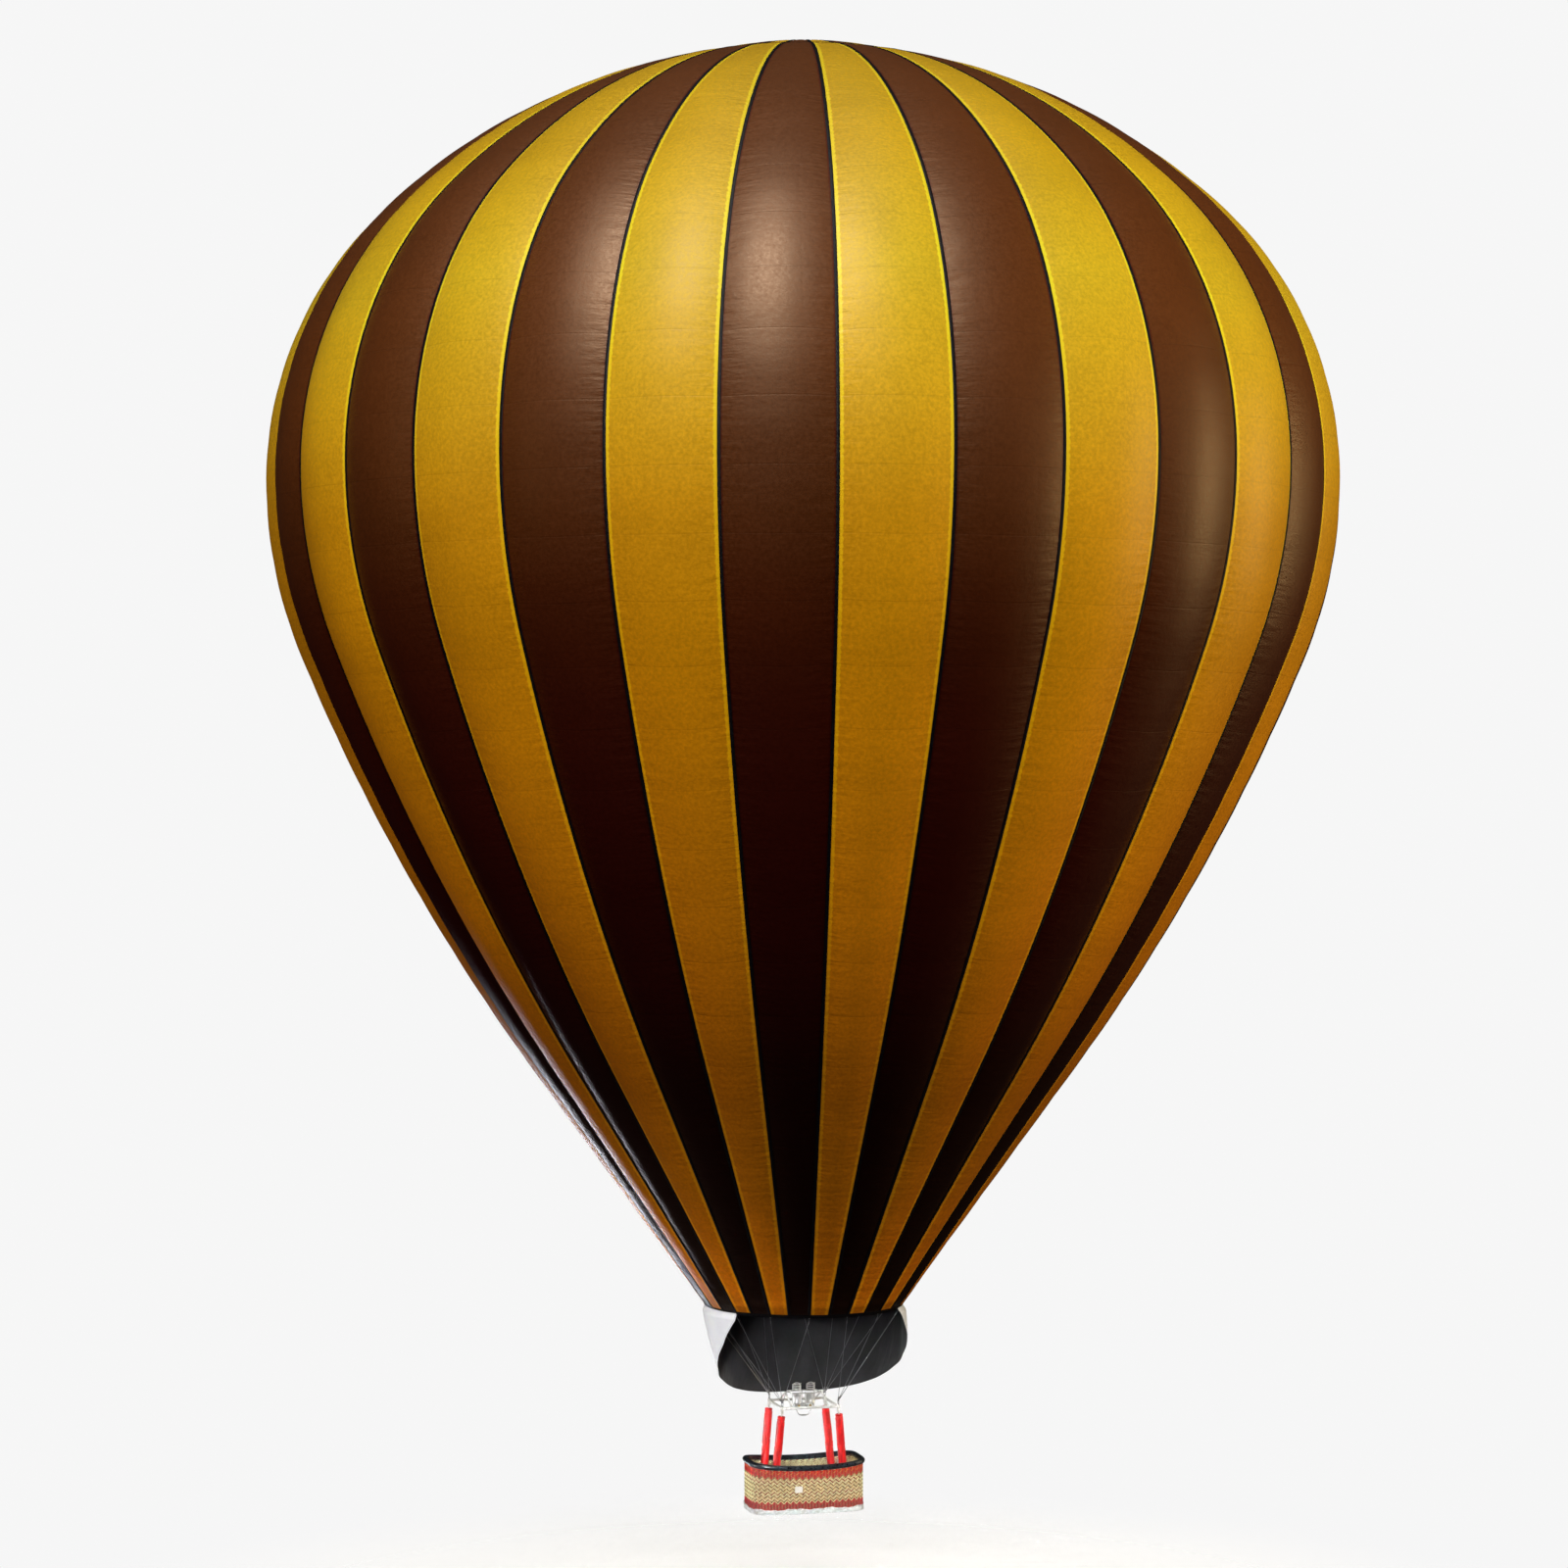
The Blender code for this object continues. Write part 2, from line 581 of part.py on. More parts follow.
def build_burner_frame():
    """Rectangle of tubes with corner sockets, two brackets for the burner and a lug in front."""
    half_x, half_y = FRAME_HALF
    parts = []
    for side in (-1, 1):
        left, right = ((x, side * half_y, FRAME_Z) for x in (-half_x, half_x))
        parts.append(rod_mesh(left, right, FRAME_TUBE))
    for side in (-1, 1):
        front, back = ((side * half_x, y, FRAME_Z) for y in (-half_y, half_y))
        parts.append(rod_mesh(front, back, FRAME_TUBE))
    for _, side_x, side_y in CORNERS:
        corner = frame_corner(side_x, side_y)
        down = upright_direction(side_x, side_y)[0]
        top = corner + np.array((0.0, 0.0, SOCKET_UP))
        parts.append(rod_mesh(top, corner, SOCKET_RADIUS, 12))
        start, end = corner - down * 0.01, corner + down * SOCKET_DOWN
        parts.append(rod_mesh(start, end, SOCKET_RADIUS - 0.002, 12))
    for side in (-1, 1):
        legs = [(side * BRACKET_X, -half_y, FRAME_Z), (side * BRACKET_X, 0.0, PIVOT_Z),
                (side * BRACKET_X, half_y, FRAME_Z)]
        parts.append(tube_mesh(legs, BRACKET_TUBE, 8))
        pin_end = side * (RING_HALF[0] + RING_TUBE + GAP)
        parts.append(rod_mesh((side * BRACKET_X, 0.0, PIVOT_Z), (pin_end, 0.0, PIVOT_Z), 0.008, 8))
    lug = [(-LUG_WIDTH / 2, -half_y, FRAME_Z), (0.0, -half_y, FRAME_Z + LUG_HEIGHT),
           (LUG_WIDTH / 2, -half_y, FRAME_Z)]
    parts.append(tube_mesh(lug, LUG_TUBE, 8))
    fused("burner_frame", parts, "white_frame")


def build_gimbal():
    """Ring round the burner, which tilts between the frame's brackets about the X axis."""
    carrier = pivot("gimbal_pivot", (0.0, 0.0, PIVOT_Z))
    x, y = RING_HALF
    ring = [(-x, -y, PIVOT_Z), (x, -y, PIVOT_Z), (x, y, PIVOT_Z), (-x, y, PIVOT_Z)]
    mesh_object("gimbal_ring", *tube_mesh(ring, RING_TUBE, 8, closed=True), "steel", carrier)


def build_burner():
    """Block with its hanging handle, two cans and two coils, tilting in the ring about Y."""
    carrier = pivot("burner_pivot", (0.0, 0.0, PIVOT_Z))
    x, y, z = (size / 2 for size in BLOCK_SIZE)
    top = PIVOT_Z + BLOCK_TOP
    parts = [box_mesh((-x, -y, top - 2 * z), (x, y, top))]
    hanger_y = RING_HALF[1] - RING_TUBE - GAP
    low = top - z
    for side in (-1, 1):
        parts.append(tube_mesh([(0.0, side * (y - 0.01), low), (0.0, side * 0.12, low),
                                (0.0, side * 0.12, PIVOT_Z)], 0.010, 8))
        parts.append(rod_mesh((0.0, side * 0.12, PIVOT_Z), (0.0, side * hanger_y, PIVOT_Z), 0.008, 8))
    bottom = top - 2 * z
    w, drop = HANDLE_HALF_WIDTH, HANDLE_DROP
    handle = [(-w, 0.0, bottom + 0.01), (-w, 0.0, bottom - 0.4 * drop), (-0.6 * w, 0.0, bottom - drop),
              (0.6 * w, 0.0, bottom - drop), (w, 0.0, bottom - 0.4 * drop), (w, 0.0, bottom + 0.01)]
    parts.append(tube_mesh(handle, 0.010, 8))
    fused("burner_block", parts, "steel", carrier)
    for name, side in (("left", -1), ("right", 1)):
        centre = (side * BURNER_X, 0.0, PIVOT_Z)
        r, w = CAN_RADIUS, CAN_WALL
        low, high = BLOCK_TOP + GAP, CAN_TOP
        can = [(r, high), (r, low), (0.0, low), (0.0, low + w), (r - w, low + w), (r - w, high)]
        mesh_object(f"burner_can_{name}", *turned_mesh(can, centre, 20), "steel", carrier)
        build_coil(f"burner_coil_{name}", centre, low + w + GAP, carrier)


def build_coil(name, centre, foot, carrier):
    """Coil of tube that rises from the floor of its can and winds above the can's edge."""
    steps = 12
    inner = COIL_RADIUS - 0.018
    path = [(centre[0] + inner, centre[1], centre[2] + foot),
            (centre[0] + inner, centre[1], centre[2] - 0.02)]
    for k in range(COIL_TURNS * steps + 1):
        angle = 2 * math.pi * k / steps
        height = COIL_LOW + (COIL_HIGH - COIL_LOW) * k / (COIL_TURNS * steps)
        reach = COIL_RADIUS if k else COIL_RADIUS - 0.006
        path.append((centre[0] + reach * math.cos(angle), centre[1] + reach * math.sin(angle),
                     centre[2] + height))
    mesh_object(name, *tube_mesh(path, COIL_TUBE, 5), "steel", carrier)


def build_wires():
    """Four wires from the hem to a bead above each corner of the burner frame."""
    for name, side_x, side_y in CORNERS:
        corner = frame_corner(side_x, side_y)
        seat = corner + np.array((0.0, 0.0, SOCKET_UP + GAP))
        head = seat + np.array((0.0, 0.0, WIRE_BEAD_HEIGHT))
        parts = [rod_mesh(seat, head, WIRE_BEAD_RADIUS, 10)]
        middle = math.atan2(side_x, -side_y)
        quarter = round((middle - math.pi / 4) / (math.pi / 2)) * (GORES // 4)
        for seam in range(1, GORES // 4, 2):
            azimuth = (quarter + seam) * GORE_ANGLE
            radius = MOUTH_RADIUS - WIRE_RADIUS - WIRE_INSET
            height = MOUTH_Z + WIRE_INSET * math.tan(CONE_ANGLE) - GAP
            tip = np.array((radius * math.sin(azimuth), -radius * math.cos(azimuth), height))
            tail = tip - np.array((0.0, 0.0, WIRE_TAIL))
            path = [head - np.array((0.0, 0.0, 0.02 + 0.012 * (seam // 2))), tail, tip]
            parts.append(tube_mesh(path, WIRE_RADIUS, 6))
        fused(f"flying_wires_{name}", parts, "steel")


def basket_ring(offset, count=BASKET_POINTS):
    """Points round the basket's plan, a rounded rectangle, moved outwards by offset."""
    power = 2 / BASKET_ROUNDING
    points = []
    for k in range(count):
        angle = 2 * math.pi * (k + 0.5) / count
        cos, sin = math.cos(angle), math.sin(angle)
        x = (BASKET_LENGTH / 2 + offset) * math.copysign(abs(cos) ** power, cos)
        y = (BASKET_WIDTH / 2 + offset) * math.copysign(abs(sin) ** power, sin)
        points.append((x, y))
    return points


def dip(x):
    """How far the basket's rim hangs below its ends, most at the middle of its length."""
    part = min(abs(x) / (BASKET_LENGTH / 2), 1.0)
    return RIM_DIP * (1 - part ** 2)


def ring_wall(name, outside, inside, bottom, top, material):
    """Upright wall between two plans; top is a height or a function of a point's x."""
    level = top if callable(top) else (lambda x: top)
    rows = [[(x, y, level(x)) for x, y in ring] + [(x, y, bottom) for x, y in ring]
            for ring in (outside, inside)]
    count = len(outside)
    outer = np.array(rows[0]).reshape(2, count, 3)
    inner = np.array(rows[1]).reshape(2, count, 3)
    cells = [[True] * count]
    vertices, faces = shell_mesh(outer, inner, cells, wrap=True)
    return mesh_object(name, vertices, faces, material)


def build_basket():
    """Runners, floor, woven wall, hide round the base, padded rim and a blank plate."""
    for name, side in (("front", -1), ("back", 1)):
        y = side * RUNNER_SPACING / 2
        low = (-RUNNER_LENGTH / 2, y - RUNNER_WIDTH / 2, BASKET_BOTTOM)
        high = (RUNNER_LENGTH / 2, y + RUNNER_WIDTH / 2, BASKET_BOTTOM + RUNNER_HEIGHT)
        mesh_object(f"runner_{name}", *box_mesh(low, high), "plywood")

    floor_low = BASKET_BOTTOM + RUNNER_HEIGHT + GAP
    plan = basket_ring(0.0)
    count = len(plan)
    vertices = [(x, y, FLOOR_TOP) for x, y in plan] + [(x, y, floor_low) for x, y in plan]
    faces = [list(range(count)), list(range(2 * count - 1, count - 1, -1))]
    faces += [[k, count + k, count + (k + 1) % count, (k + 1) % count] for k in range(count)]
    mesh_object("basket_floor", vertices, faces, "plywood")

    ring_wall("basket_wall", plan, basket_ring(-WALL), FLOOR_TOP + GAP,
              lambda x: WALL_TOP - dip(x), "wicker")
    ring_wall("base_hide", basket_ring(GAP + HIDE_THICKNESS), basket_ring(2 * GAP), floor_low,
              BASKET_BOTTOM + HIDE_HEIGHT, "base_hide")
    rim = [(x, y, WALL_TOP + RIM_RADIUS + 2 * GAP - dip(x)) for x, y in basket_ring(-WALL / 2)]
    mesh_object("rim_pad", *tube_mesh(rim, RIM_RADIUS, 8, closed=True), "rim_leather")

    width, depth, height = PLATE_SIZE
    x, z = PLATE_CENTRE[0], BASKET_BOTTOM + PLATE_CENTRE[1]
    face = -max(y for _, y in plan) - GAP
    plate = box_mesh((x - width / 2, face - depth, z - height / 2), (x + width / 2, face, z + height / 2))
    mesh_object("front_plate", *plate, "white_plate")


def build_cylinders():
    """Four gas cylinders, two at each end of the basket, with a collar round each valve."""
    r, h = CYLINDER_RADIUS, CYLINDER_HEIGHT
    collar, top = COLLAR_RADIUS, CYLINDER_HEIGHT + COLLAR_HEIGHT
    outline_points = [(collar - 0.012, top), (collar, top), (collar, h - 0.02), (r - 0.02, h - 0.06),
                      (r, h - 0.13), (r, 0.03), (r - 0.02, 0.0), (0.0, 0.0), (0.0, h + 0.05),
                      (0.022, h + 0.05), (0.022, h - 0.02), (collar - 0.012, h - 0.02)]
    for name, side_x, side_y in CORNERS:
        centre = (side_x * CYLINDER_PLACE[0], side_y * CYLINDER_PLACE[1], FLOOR_TOP + GAP)
        mesh_object(f"gas_cylinder_{name}", *turned_mesh(outline_points, centre, 16), "grey_cylinder")


def main():
    clear_scene()
    build_envelope()
    build_load_tapes()
    build_crown()
    build_scoop()
    build_burner_frame()
    build_gimbal()
    build_burner()
    build_uprights()
    build_wires()
    build_basket()
    build_cylinders()


main()
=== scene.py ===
"""Looks of the hot air balloon: sewn gores, tapes, scoop, wires, burner and wicker basket.

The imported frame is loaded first; every piece then rides on one of its bodies. Lengths are in
metres, +Z up, and azimuths turn from the front (-Y) towards +X.
"""

import math

import bpy
import numpy as np
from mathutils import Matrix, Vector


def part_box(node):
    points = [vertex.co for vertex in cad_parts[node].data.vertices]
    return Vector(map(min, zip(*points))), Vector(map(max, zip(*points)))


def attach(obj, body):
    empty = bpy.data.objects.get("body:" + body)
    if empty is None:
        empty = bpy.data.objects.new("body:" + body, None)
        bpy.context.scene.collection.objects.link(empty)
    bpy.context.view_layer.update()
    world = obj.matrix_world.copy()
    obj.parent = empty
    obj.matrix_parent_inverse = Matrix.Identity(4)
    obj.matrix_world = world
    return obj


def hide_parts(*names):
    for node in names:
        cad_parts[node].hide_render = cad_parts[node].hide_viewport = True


bl_info = {
    "name": "Hot Air Balloon",
    "version": (1, 0, 0),
    "blender": (4, 5, 0),
    "location": "View3D > Sidebar > Balloon",
    "description": "Dresses the balloon's frame with cloth, tapes, wires, burner and wicker",
    "category": "Add Mesh",
}

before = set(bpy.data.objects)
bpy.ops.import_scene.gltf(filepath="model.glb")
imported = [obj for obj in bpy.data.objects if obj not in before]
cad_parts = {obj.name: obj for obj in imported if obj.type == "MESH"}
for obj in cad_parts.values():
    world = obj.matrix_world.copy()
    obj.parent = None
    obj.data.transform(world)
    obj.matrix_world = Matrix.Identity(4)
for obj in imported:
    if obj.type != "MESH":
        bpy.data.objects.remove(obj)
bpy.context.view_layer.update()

# Envelope: arcs of its outline, then a straight cone down to the mouth.
ENVELOPE_RADIUS = 10.0
SHOULDER_RADIUS = 6.90
SHOULDER_ANGLE = math.radians(46.7)
BELLY_RADIUS = 8.46
BELLY_ANGLE = math.radians(22.3)
FLANK_RADIUS = 36.993
FLANK_ANGLE = math.radians(13.8)
MOUTH_RADIUS = 1.84
HEM_HEIGHT = 0.35
HEM_BAND = 0.06
FABRIC = 0.010
GORES = 32
GORE_ANGLE = 2 * math.pi / GORES
GAP = 0.0003
VENT_RADIUS = 2.30
VENT_BAND = 0.50
VALVE_OVERLAP = 0.15
HUB_INNER, HUB_OUTER = 0.14, 0.34
CROWN_RISE = 0.10
CROWN_RISE_TOP, CROWN_RISE_FOOT = 0.9, 2.4
CROWN_RING_RADIUS = 0.24
CROWN_RING_TUBE = 0.016
TAPE_LIFT = 0.0006
TAPE_THICKNESS = 0.012
FAR_FROM_TAPES = 2.0

# Scoop: hangs from the hem, open to the front.
SCOOP_START = 5 * GORE_ANGLE
SCOOP_DROP = 1.80
SCOOP_CURVE = 2.4
SCOOP_TOP_RADIUS = 1.848
SCOOP_FLARE_RADIUS = 1.90
SCOOP_LOW_RADIUS = 1.60
SCOOP_LAP = 0.02
SCOOP_FLARE = 0.10
SCOOP_EASE = 0.004
SCOOP_CLOTH = 0.0045

# Basket and burner frame.
BASKET_BOTTOM = -19.21
BASKET_LENGTH = 2.17
BASKET_WIDTH = 1.22
BASKET_ROUNDING = 4.5
RIM_TOP = BASKET_BOTTOM + 1.00
RIM_DIP = 0.07
RIM_RADIUS = 0.045
RIM_SEAMS = 20
WALL = 0.040
WALL_TOP = RIM_TOP - 2 * RIM_RADIUS
RUNNER_HALF = (0.85, 0.035)
RUNNER_HEIGHT = 0.04
RUNNER_Y = 0.32
FLOOR_THICKNESS = 0.030
FLOOR_TOP = BASKET_BOTTOM + RUNNER_HEIGHT + GAP + FLOOR_THICKNESS
HIDE_LOW = BASKET_BOTTOM + RUNNER_HEIGHT + GAP
HIDE_TOP = BASKET_BOTTOM + 0.17
LACES = 84
CYLINDER_PLACE = (0.81, 0.27)
FRAME_Z = -17.21
FRAME_HALF = (0.54, 0.50)
FRAME_TUBE = 0.025
UPRIGHT_FOOT = (0.712, 0.400)
COVER_WAIST = 0.93
COVER_BORE = 0.018
COVER_HELD = 0.035
COVER_START = 0.14
BRACKET_X = 0.35
PIVOT_Z = FRAME_Z + 0.22
RING_HALF = (0.29, 0.17)
RING_TUBE = 0.012
BURNER_X = 0.135
BLOCK_DROP = 0.21
BLOCK_HALF = (0.20, 0.05)
BLOCK_HEIGHT = 0.07
HANGER_Y = 0.12
VALVE_X = 0.11
HANDLE_HALF = 0.14
HANDLE_DROP = 0.16
CAN_LOW, CAN_HIGH = -BLOCK_DROP + GAP, -0.03
CAN_RADIUS = 0.085
COIL_RADIUS = 0.078
COIL_TOP = 0.17
COIL_TURNS = 4
CORNERS = (("front_left", -1, -1), ("front_right", 1, -1),
           ("back_left", -1, 1), ("back_right", 1, 1))

# Turns a box's upward face to the front.
STOOD_UP = np.array(((1, 0, 0), (0, 0, 1), (0, -1, 0)))

# Colours of the lamps and of the light all round.
WHITE = (1.0, 1.0, 1.0)
WARM = (1.0, 0.88, 0.55)
AMBER = (1.0, 0.81, 0.43)
COOL = (0.86, 0.88, 1.0)
SKY = (0.93, 0.96, 1.0)


def envelope_arcs():
    """Arcs of the outline: centre, radius, first and last angle below the horizontal."""
    shoulder = (ENVELOPE_RADIUS - SHOULDER_RADIUS, 0.0)
    reach = shoulder[0] + SHOULDER_RADIUS * math.cos(SHOULDER_ANGLE)
    cap_radius = reach / math.cos(SHOULDER_ANGLE)
    cap = (0.0, (SHOULDER_RADIUS - cap_radius) * math.sin(SHOULDER_ANGLE))
    belly = (ENVELOPE_RADIUS - BELLY_RADIUS, 0.0)
    inset = BELLY_RADIUS - FLANK_RADIUS
    flank = (belly[0] + inset * math.cos(BELLY_ANGLE), -inset * math.sin(BELLY_ANGLE))
    return [(cap, cap_radius, -math.pi / 2, -SHOULDER_ANGLE),
            (shoulder, SHOULDER_RADIUS, -SHOULDER_ANGLE, 0.0),
            (belly, BELLY_RADIUS, 0.0, BELLY_ANGLE),
            (flank, FLANK_RADIUS, BELLY_ANGLE, BELLY_ANGLE + FLANK_ANGLE)]


ARCS = envelope_arcs()
CONE_ANGLE = BELLY_ANGLE + FLANK_ANGLE
ARC_LENGTHS = [radius * (last - first) for _, radius, first, last in ARCS]
CONE_TOP_S = sum(ARC_LENGTHS)
CONE_TOP_RADIUS = ARCS[-1][0][0] + FLANK_RADIUS * math.cos(CONE_ANGLE)
CONE_TOP_Z = ARCS[-1][0][1] - FLANK_RADIUS * math.sin(CONE_ANGLE)
CONE_LENGTH = (CONE_TOP_RADIUS - MOUTH_RADIUS) / math.sin(CONE_ANGLE)
MOUTH_S = CONE_TOP_S + CONE_LENGTH
HEM_S = MOUTH_S - HEM_HEIGHT
MOUTH_Z = CONE_TOP_Z - CONE_LENGTH * math.cos(CONE_ANGLE)
CAP_RADIUS = ARCS[0][1]
VENT_S = CAP_RADIUS * math.asin(VENT_RADIUS / CAP_RADIUS)
VALVE_S = VENT_S + VALVE_OVERLAP
BAND_S = VENT_S + VENT_BAND
PANELS = 26
PANEL = (HEM_S - VENT_S) / PANELS


# Meshes.

class Form:
    """Grids of points gathered into one closed mesh."""

    def __init__(self):
        self.points, self.faces, self.slots, self.maps, self.tones = [], [], [], [], []
        self.count = 0

    def grid(self, points, along=False, ends=None, uv=None, slot=0, tone=0.0):
        """Adds one grid, or several of a kind, of rows and columns of points.

        Each face joins a point to the next row and column; it looks outwards where rows run
        down and columns run with the azimuth. The columns close on themselves, and along
        closes the rows. ends closes the first and last row: "disc" by one face, "zip" by a
        strip between the two halves of the section. uv holds one more row or column where
        the grid closes.
        """
        points = np.asarray(points, float)
        points = points.reshape(-1, *points.shape[-3:])
        copies, rows, columns = points.shape[:3]
        index = self.count + np.arange(copies * rows * columns).reshape(copies, rows, columns)
        row = np.arange(rows if along else rows - 1)[:, None]
        column = np.arange(columns)[None]
        corners = ((row, column), (row + 1, column), (row + 1, column + 1), (row, column + 1))
        if uv is None:
            place = np.meshgrid(np.arange(columns + 1), np.arange(rows + 1))
            uv = np.stack(place, axis=-1) / (columns, rows)
        uv = np.broadcast_to(uv, (copies, *np.shape(uv)[-3:]))
        self.add(np.stack([index[:, r % rows, c % columns] for r, c in corners], axis=-1),
                 np.stack([uv[:, r, c] for r, c in corners], axis=-2), slot)
        half = np.arange(columns // 2 - 1)
        lids = {"disc": np.arange(columns)[None],
                "zip": np.stack([half, half + 1, columns - 2 - half, columns - 1 - half], axis=-1)}
        if ends:
            face = lids[ends]
            self.add(index[:, 0][:, face], uv[:, 0][:, face], slot)
            self.add(index[:, -1][:, face[:, ::-1]], uv[:, -1][:, face[:, ::-1]], slot)
        self.points.append(points.reshape(-1, 3))
        self.tones.append(np.broadcast_to(tone, points.shape[:3]).ravel())
        self.count += index.size

    def add(self, faces, uv, slot):
        """Keeps faces of one corner count, with their places on the UV map."""
        faces = faces.reshape(-1, faces.shape[-1])
        self.faces.append(faces)
        self.maps.append(np.asarray(uv, float).reshape(-1, 2))
        self.slots.append(np.full(len(faces), slot))

    def mesh(self, name):
        """The mesh of all grids, with the UV map Sewing and the attribute Tone."""
        mesh = bpy.data.meshes.new(name)
        points = np.concatenate(self.points)
        sizes = np.concatenate([np.full(len(faces), faces.shape[1]) for faces in self.faces])
        corners = np.concatenate([faces.ravel() for faces in self.faces])
        mesh.vertices.add(len(points))
        mesh.vertices.foreach_set("co", points.astype(np.float32).ravel())
        mesh.loops.add(len(corners))
        mesh.loops.foreach_set("vertex_index", corners.astype(np.int32))
        mesh.polygons.add(len(sizes))
        starts = np.concatenate(([0], np.cumsum(sizes)[:-1]))
        mesh.polygons.foreach_set("loop_start", starts.astype(np.int32))
        mesh.polygons.foreach_set("material_index", np.concatenate(self.slots).astype(np.int32))
        mesh.update(calc_edges=True)
        layer = mesh.uv_layers.new(name="Sewing")
        layer.data.foreach_set("uv", np.concatenate(self.maps).astype(np.float32).ravel())
        tone = mesh.attributes.new("Tone", "FLOAT", "POINT")
        tone.data.foreach_set("value", np.concatenate(self.tones).astype(np.float32))
        return mesh

    def make(self, name, body, materials, stands_for=(), sharp=40.0):
        """Makes the piece, rides it on its body and hides the CAD nodes it stands for."""
        return dress(self.mesh(name), body, materials, stands_for, sharp)


def dress(mesh, body, materials, stands_for=(), sharp=40.0):
    """Piece of a finished mesh, with its materials and body; the CAD nodes it stands for are
    hidden.
    """
    piece = plain_object(mesh, materials, sharp)
    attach(piece, body)
    if stands_for:
        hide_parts(*stands_for)
    return piece


def plain_object(mesh, materials, sharp=40.0):
    """Object of a finished mesh, smooth but for its sharp edges."""
    mesh.shade_smooth()
    mesh.set_sharp_from_angle(angle=math.radians(sharp))
    for material in materials:
        mesh.materials.append(material)
    piece = bpy.data.objects.new(mesh.name, mesh)
    bpy.context.scene.collection.objects.link(piece)
    return piece


def unit(vectors):
    """Vectors of length one in the same directions."""
    vectors = np.asarray(vectors, float)
    return vectors / np.maximum(np.linalg.norm(vectors, axis=-1, keepdims=True), 1e-12)


def sweep(paths, radius, sides, up, closed=False):
    """Round section carried along paths.

    At each point the tangent is the mean of the runs before and after; the section's first
    axis is tangent x up and its second is square to both.
    """
    paths = np.asarray(paths, float)
    paths = paths.reshape(-1, *paths.shape[-2:])
    runs = unit(np.roll(paths, -1, axis=1) - paths)
    before = np.roll(runs, 1, axis=1)
    if not closed:
        before[:, 0], runs[:, -1] = runs[:, 0], before[:, -1]
    tangent = unit(before + runs)
    side = unit(np.cross(tangent, up))
    other = np.cross(side, tangent)
    angles = np.arange(sides) * 2 * math.pi / sides
    reach = np.broadcast_to(radius, paths.shape[:2])[..., None, None]
    ring = (np.cos(angles)[:, None] * side[:, :, None]
            + np.sin(angles)[:, None] * other[:, :, None])
    return paths[:, :, None] + reach * ring


def sweep_map(paths, sides, girth, closed=False):
    """UV map of a swept section: metres along each path, and metres round the section."""
    paths = np.asarray(paths, float)
    paths = paths.reshape(-1, *paths.shape[-2:])
    if closed:
        paths = np.concatenate([paths, paths[:, :1]], axis=1)
    steps = np.linalg.norm(np.diff(paths, axis=1), axis=-1)
    along = np.concatenate([np.zeros((len(paths), 1)), np.cumsum(steps, axis=1)], axis=1)
    turn = np.arange(sides + 1) * girth / sides
    shape = (*along.shape, sides + 1)
    return np.stack([np.broadcast_to(along[..., None], shape), np.broadcast_to(turn, shape)],
                    axis=-1)


def tube(form, paths, radius, sides=12, up=(0, 0, 1), closed=False, slot=0):
    """Adds tubes along paths, closed by discs at their ends unless they are loops."""
    girth = 2 * math.pi * float(np.mean(radius))
    form.grid(sweep(paths, radius, sides, up, closed), along=closed,
              ends=None if closed else "disc", uv=sweep_map(paths, sides, girth, closed),
              slot=slot)


def circle(radius, height, count):
    """Points of a level circle round Z."""
    angle = np.arange(count) * 2 * math.pi / count
    return np.stack([radius * np.cos(angle), radius * np.sin(angle), np.full(count, height)],
                    axis=-1)


def rounded(corners, radius, steps=5, closed=False):
    """Polyline whose corners are quadratic curves from radius before each to radius after."""
    corners = np.asarray(corners, float)
    start = corners + unit(np.roll(corners, 1, axis=0) - corners) * radius
    end = corners + unit(np.roll(corners, -1, axis=0) - corners) * radius
    t = np.linspace(0, 1, steps)[:, None]
    curve = ((1 - t) ** 2 * start[:, None] + 2 * t * (1 - t) * corners[:, None]
             + t * t * end[:, None])
    if closed:
        return curve.reshape(-1, 3)
    return np.concatenate([corners[:1], curve[1:-1].reshape(-1, 3), corners[-1:]])


def turned(form, profile, start, axis=(0, 0, 1), sides=24, slot=0):
    """Adds a solid of revolution: (radius, height) points carried round an axis from start."""
    radii, heights = np.asarray(profile, float).T
    axis = unit(axis)
    side = unit(np.cross(axis, (1, 0, 0) if abs(axis[2]) > 0.9 else (0, 0, 1)))
    other = np.cross(side, axis)
    angles = np.arange(sides) * 2 * math.pi / sides
    ring = np.cos(angles)[:, None] * side + np.sin(angles)[:, None] * other
    points = np.asarray(start) + heights[:, None, None] * axis + radii[:, None, None] * ring
    steps = np.hypot(np.diff(radii), np.diff(heights))
    along = np.concatenate(([0], np.cumsum(steps)))
    turn = np.arange(sides + 1) * 2 * math.pi * radii.max() / sides
    shape = (len(radii), sides + 1)
    uv = np.stack([np.broadcast_to(along[:, None], shape), np.broadcast_to(turn, shape)], axis=-1)
    form.grid(points, ends="disc", uv=uv, slot=slot)


def collar(form, place, axis, inner, outer, half, edge, sides=24, slot=0):
    """Adds a collar round an axis, chamfered over edge from inner to outer at both ends."""
    turned(form, [(inner, -half), (outer, edge - half), (outer, half - edge), (inner, half)],
           place, axis, sides, slot)


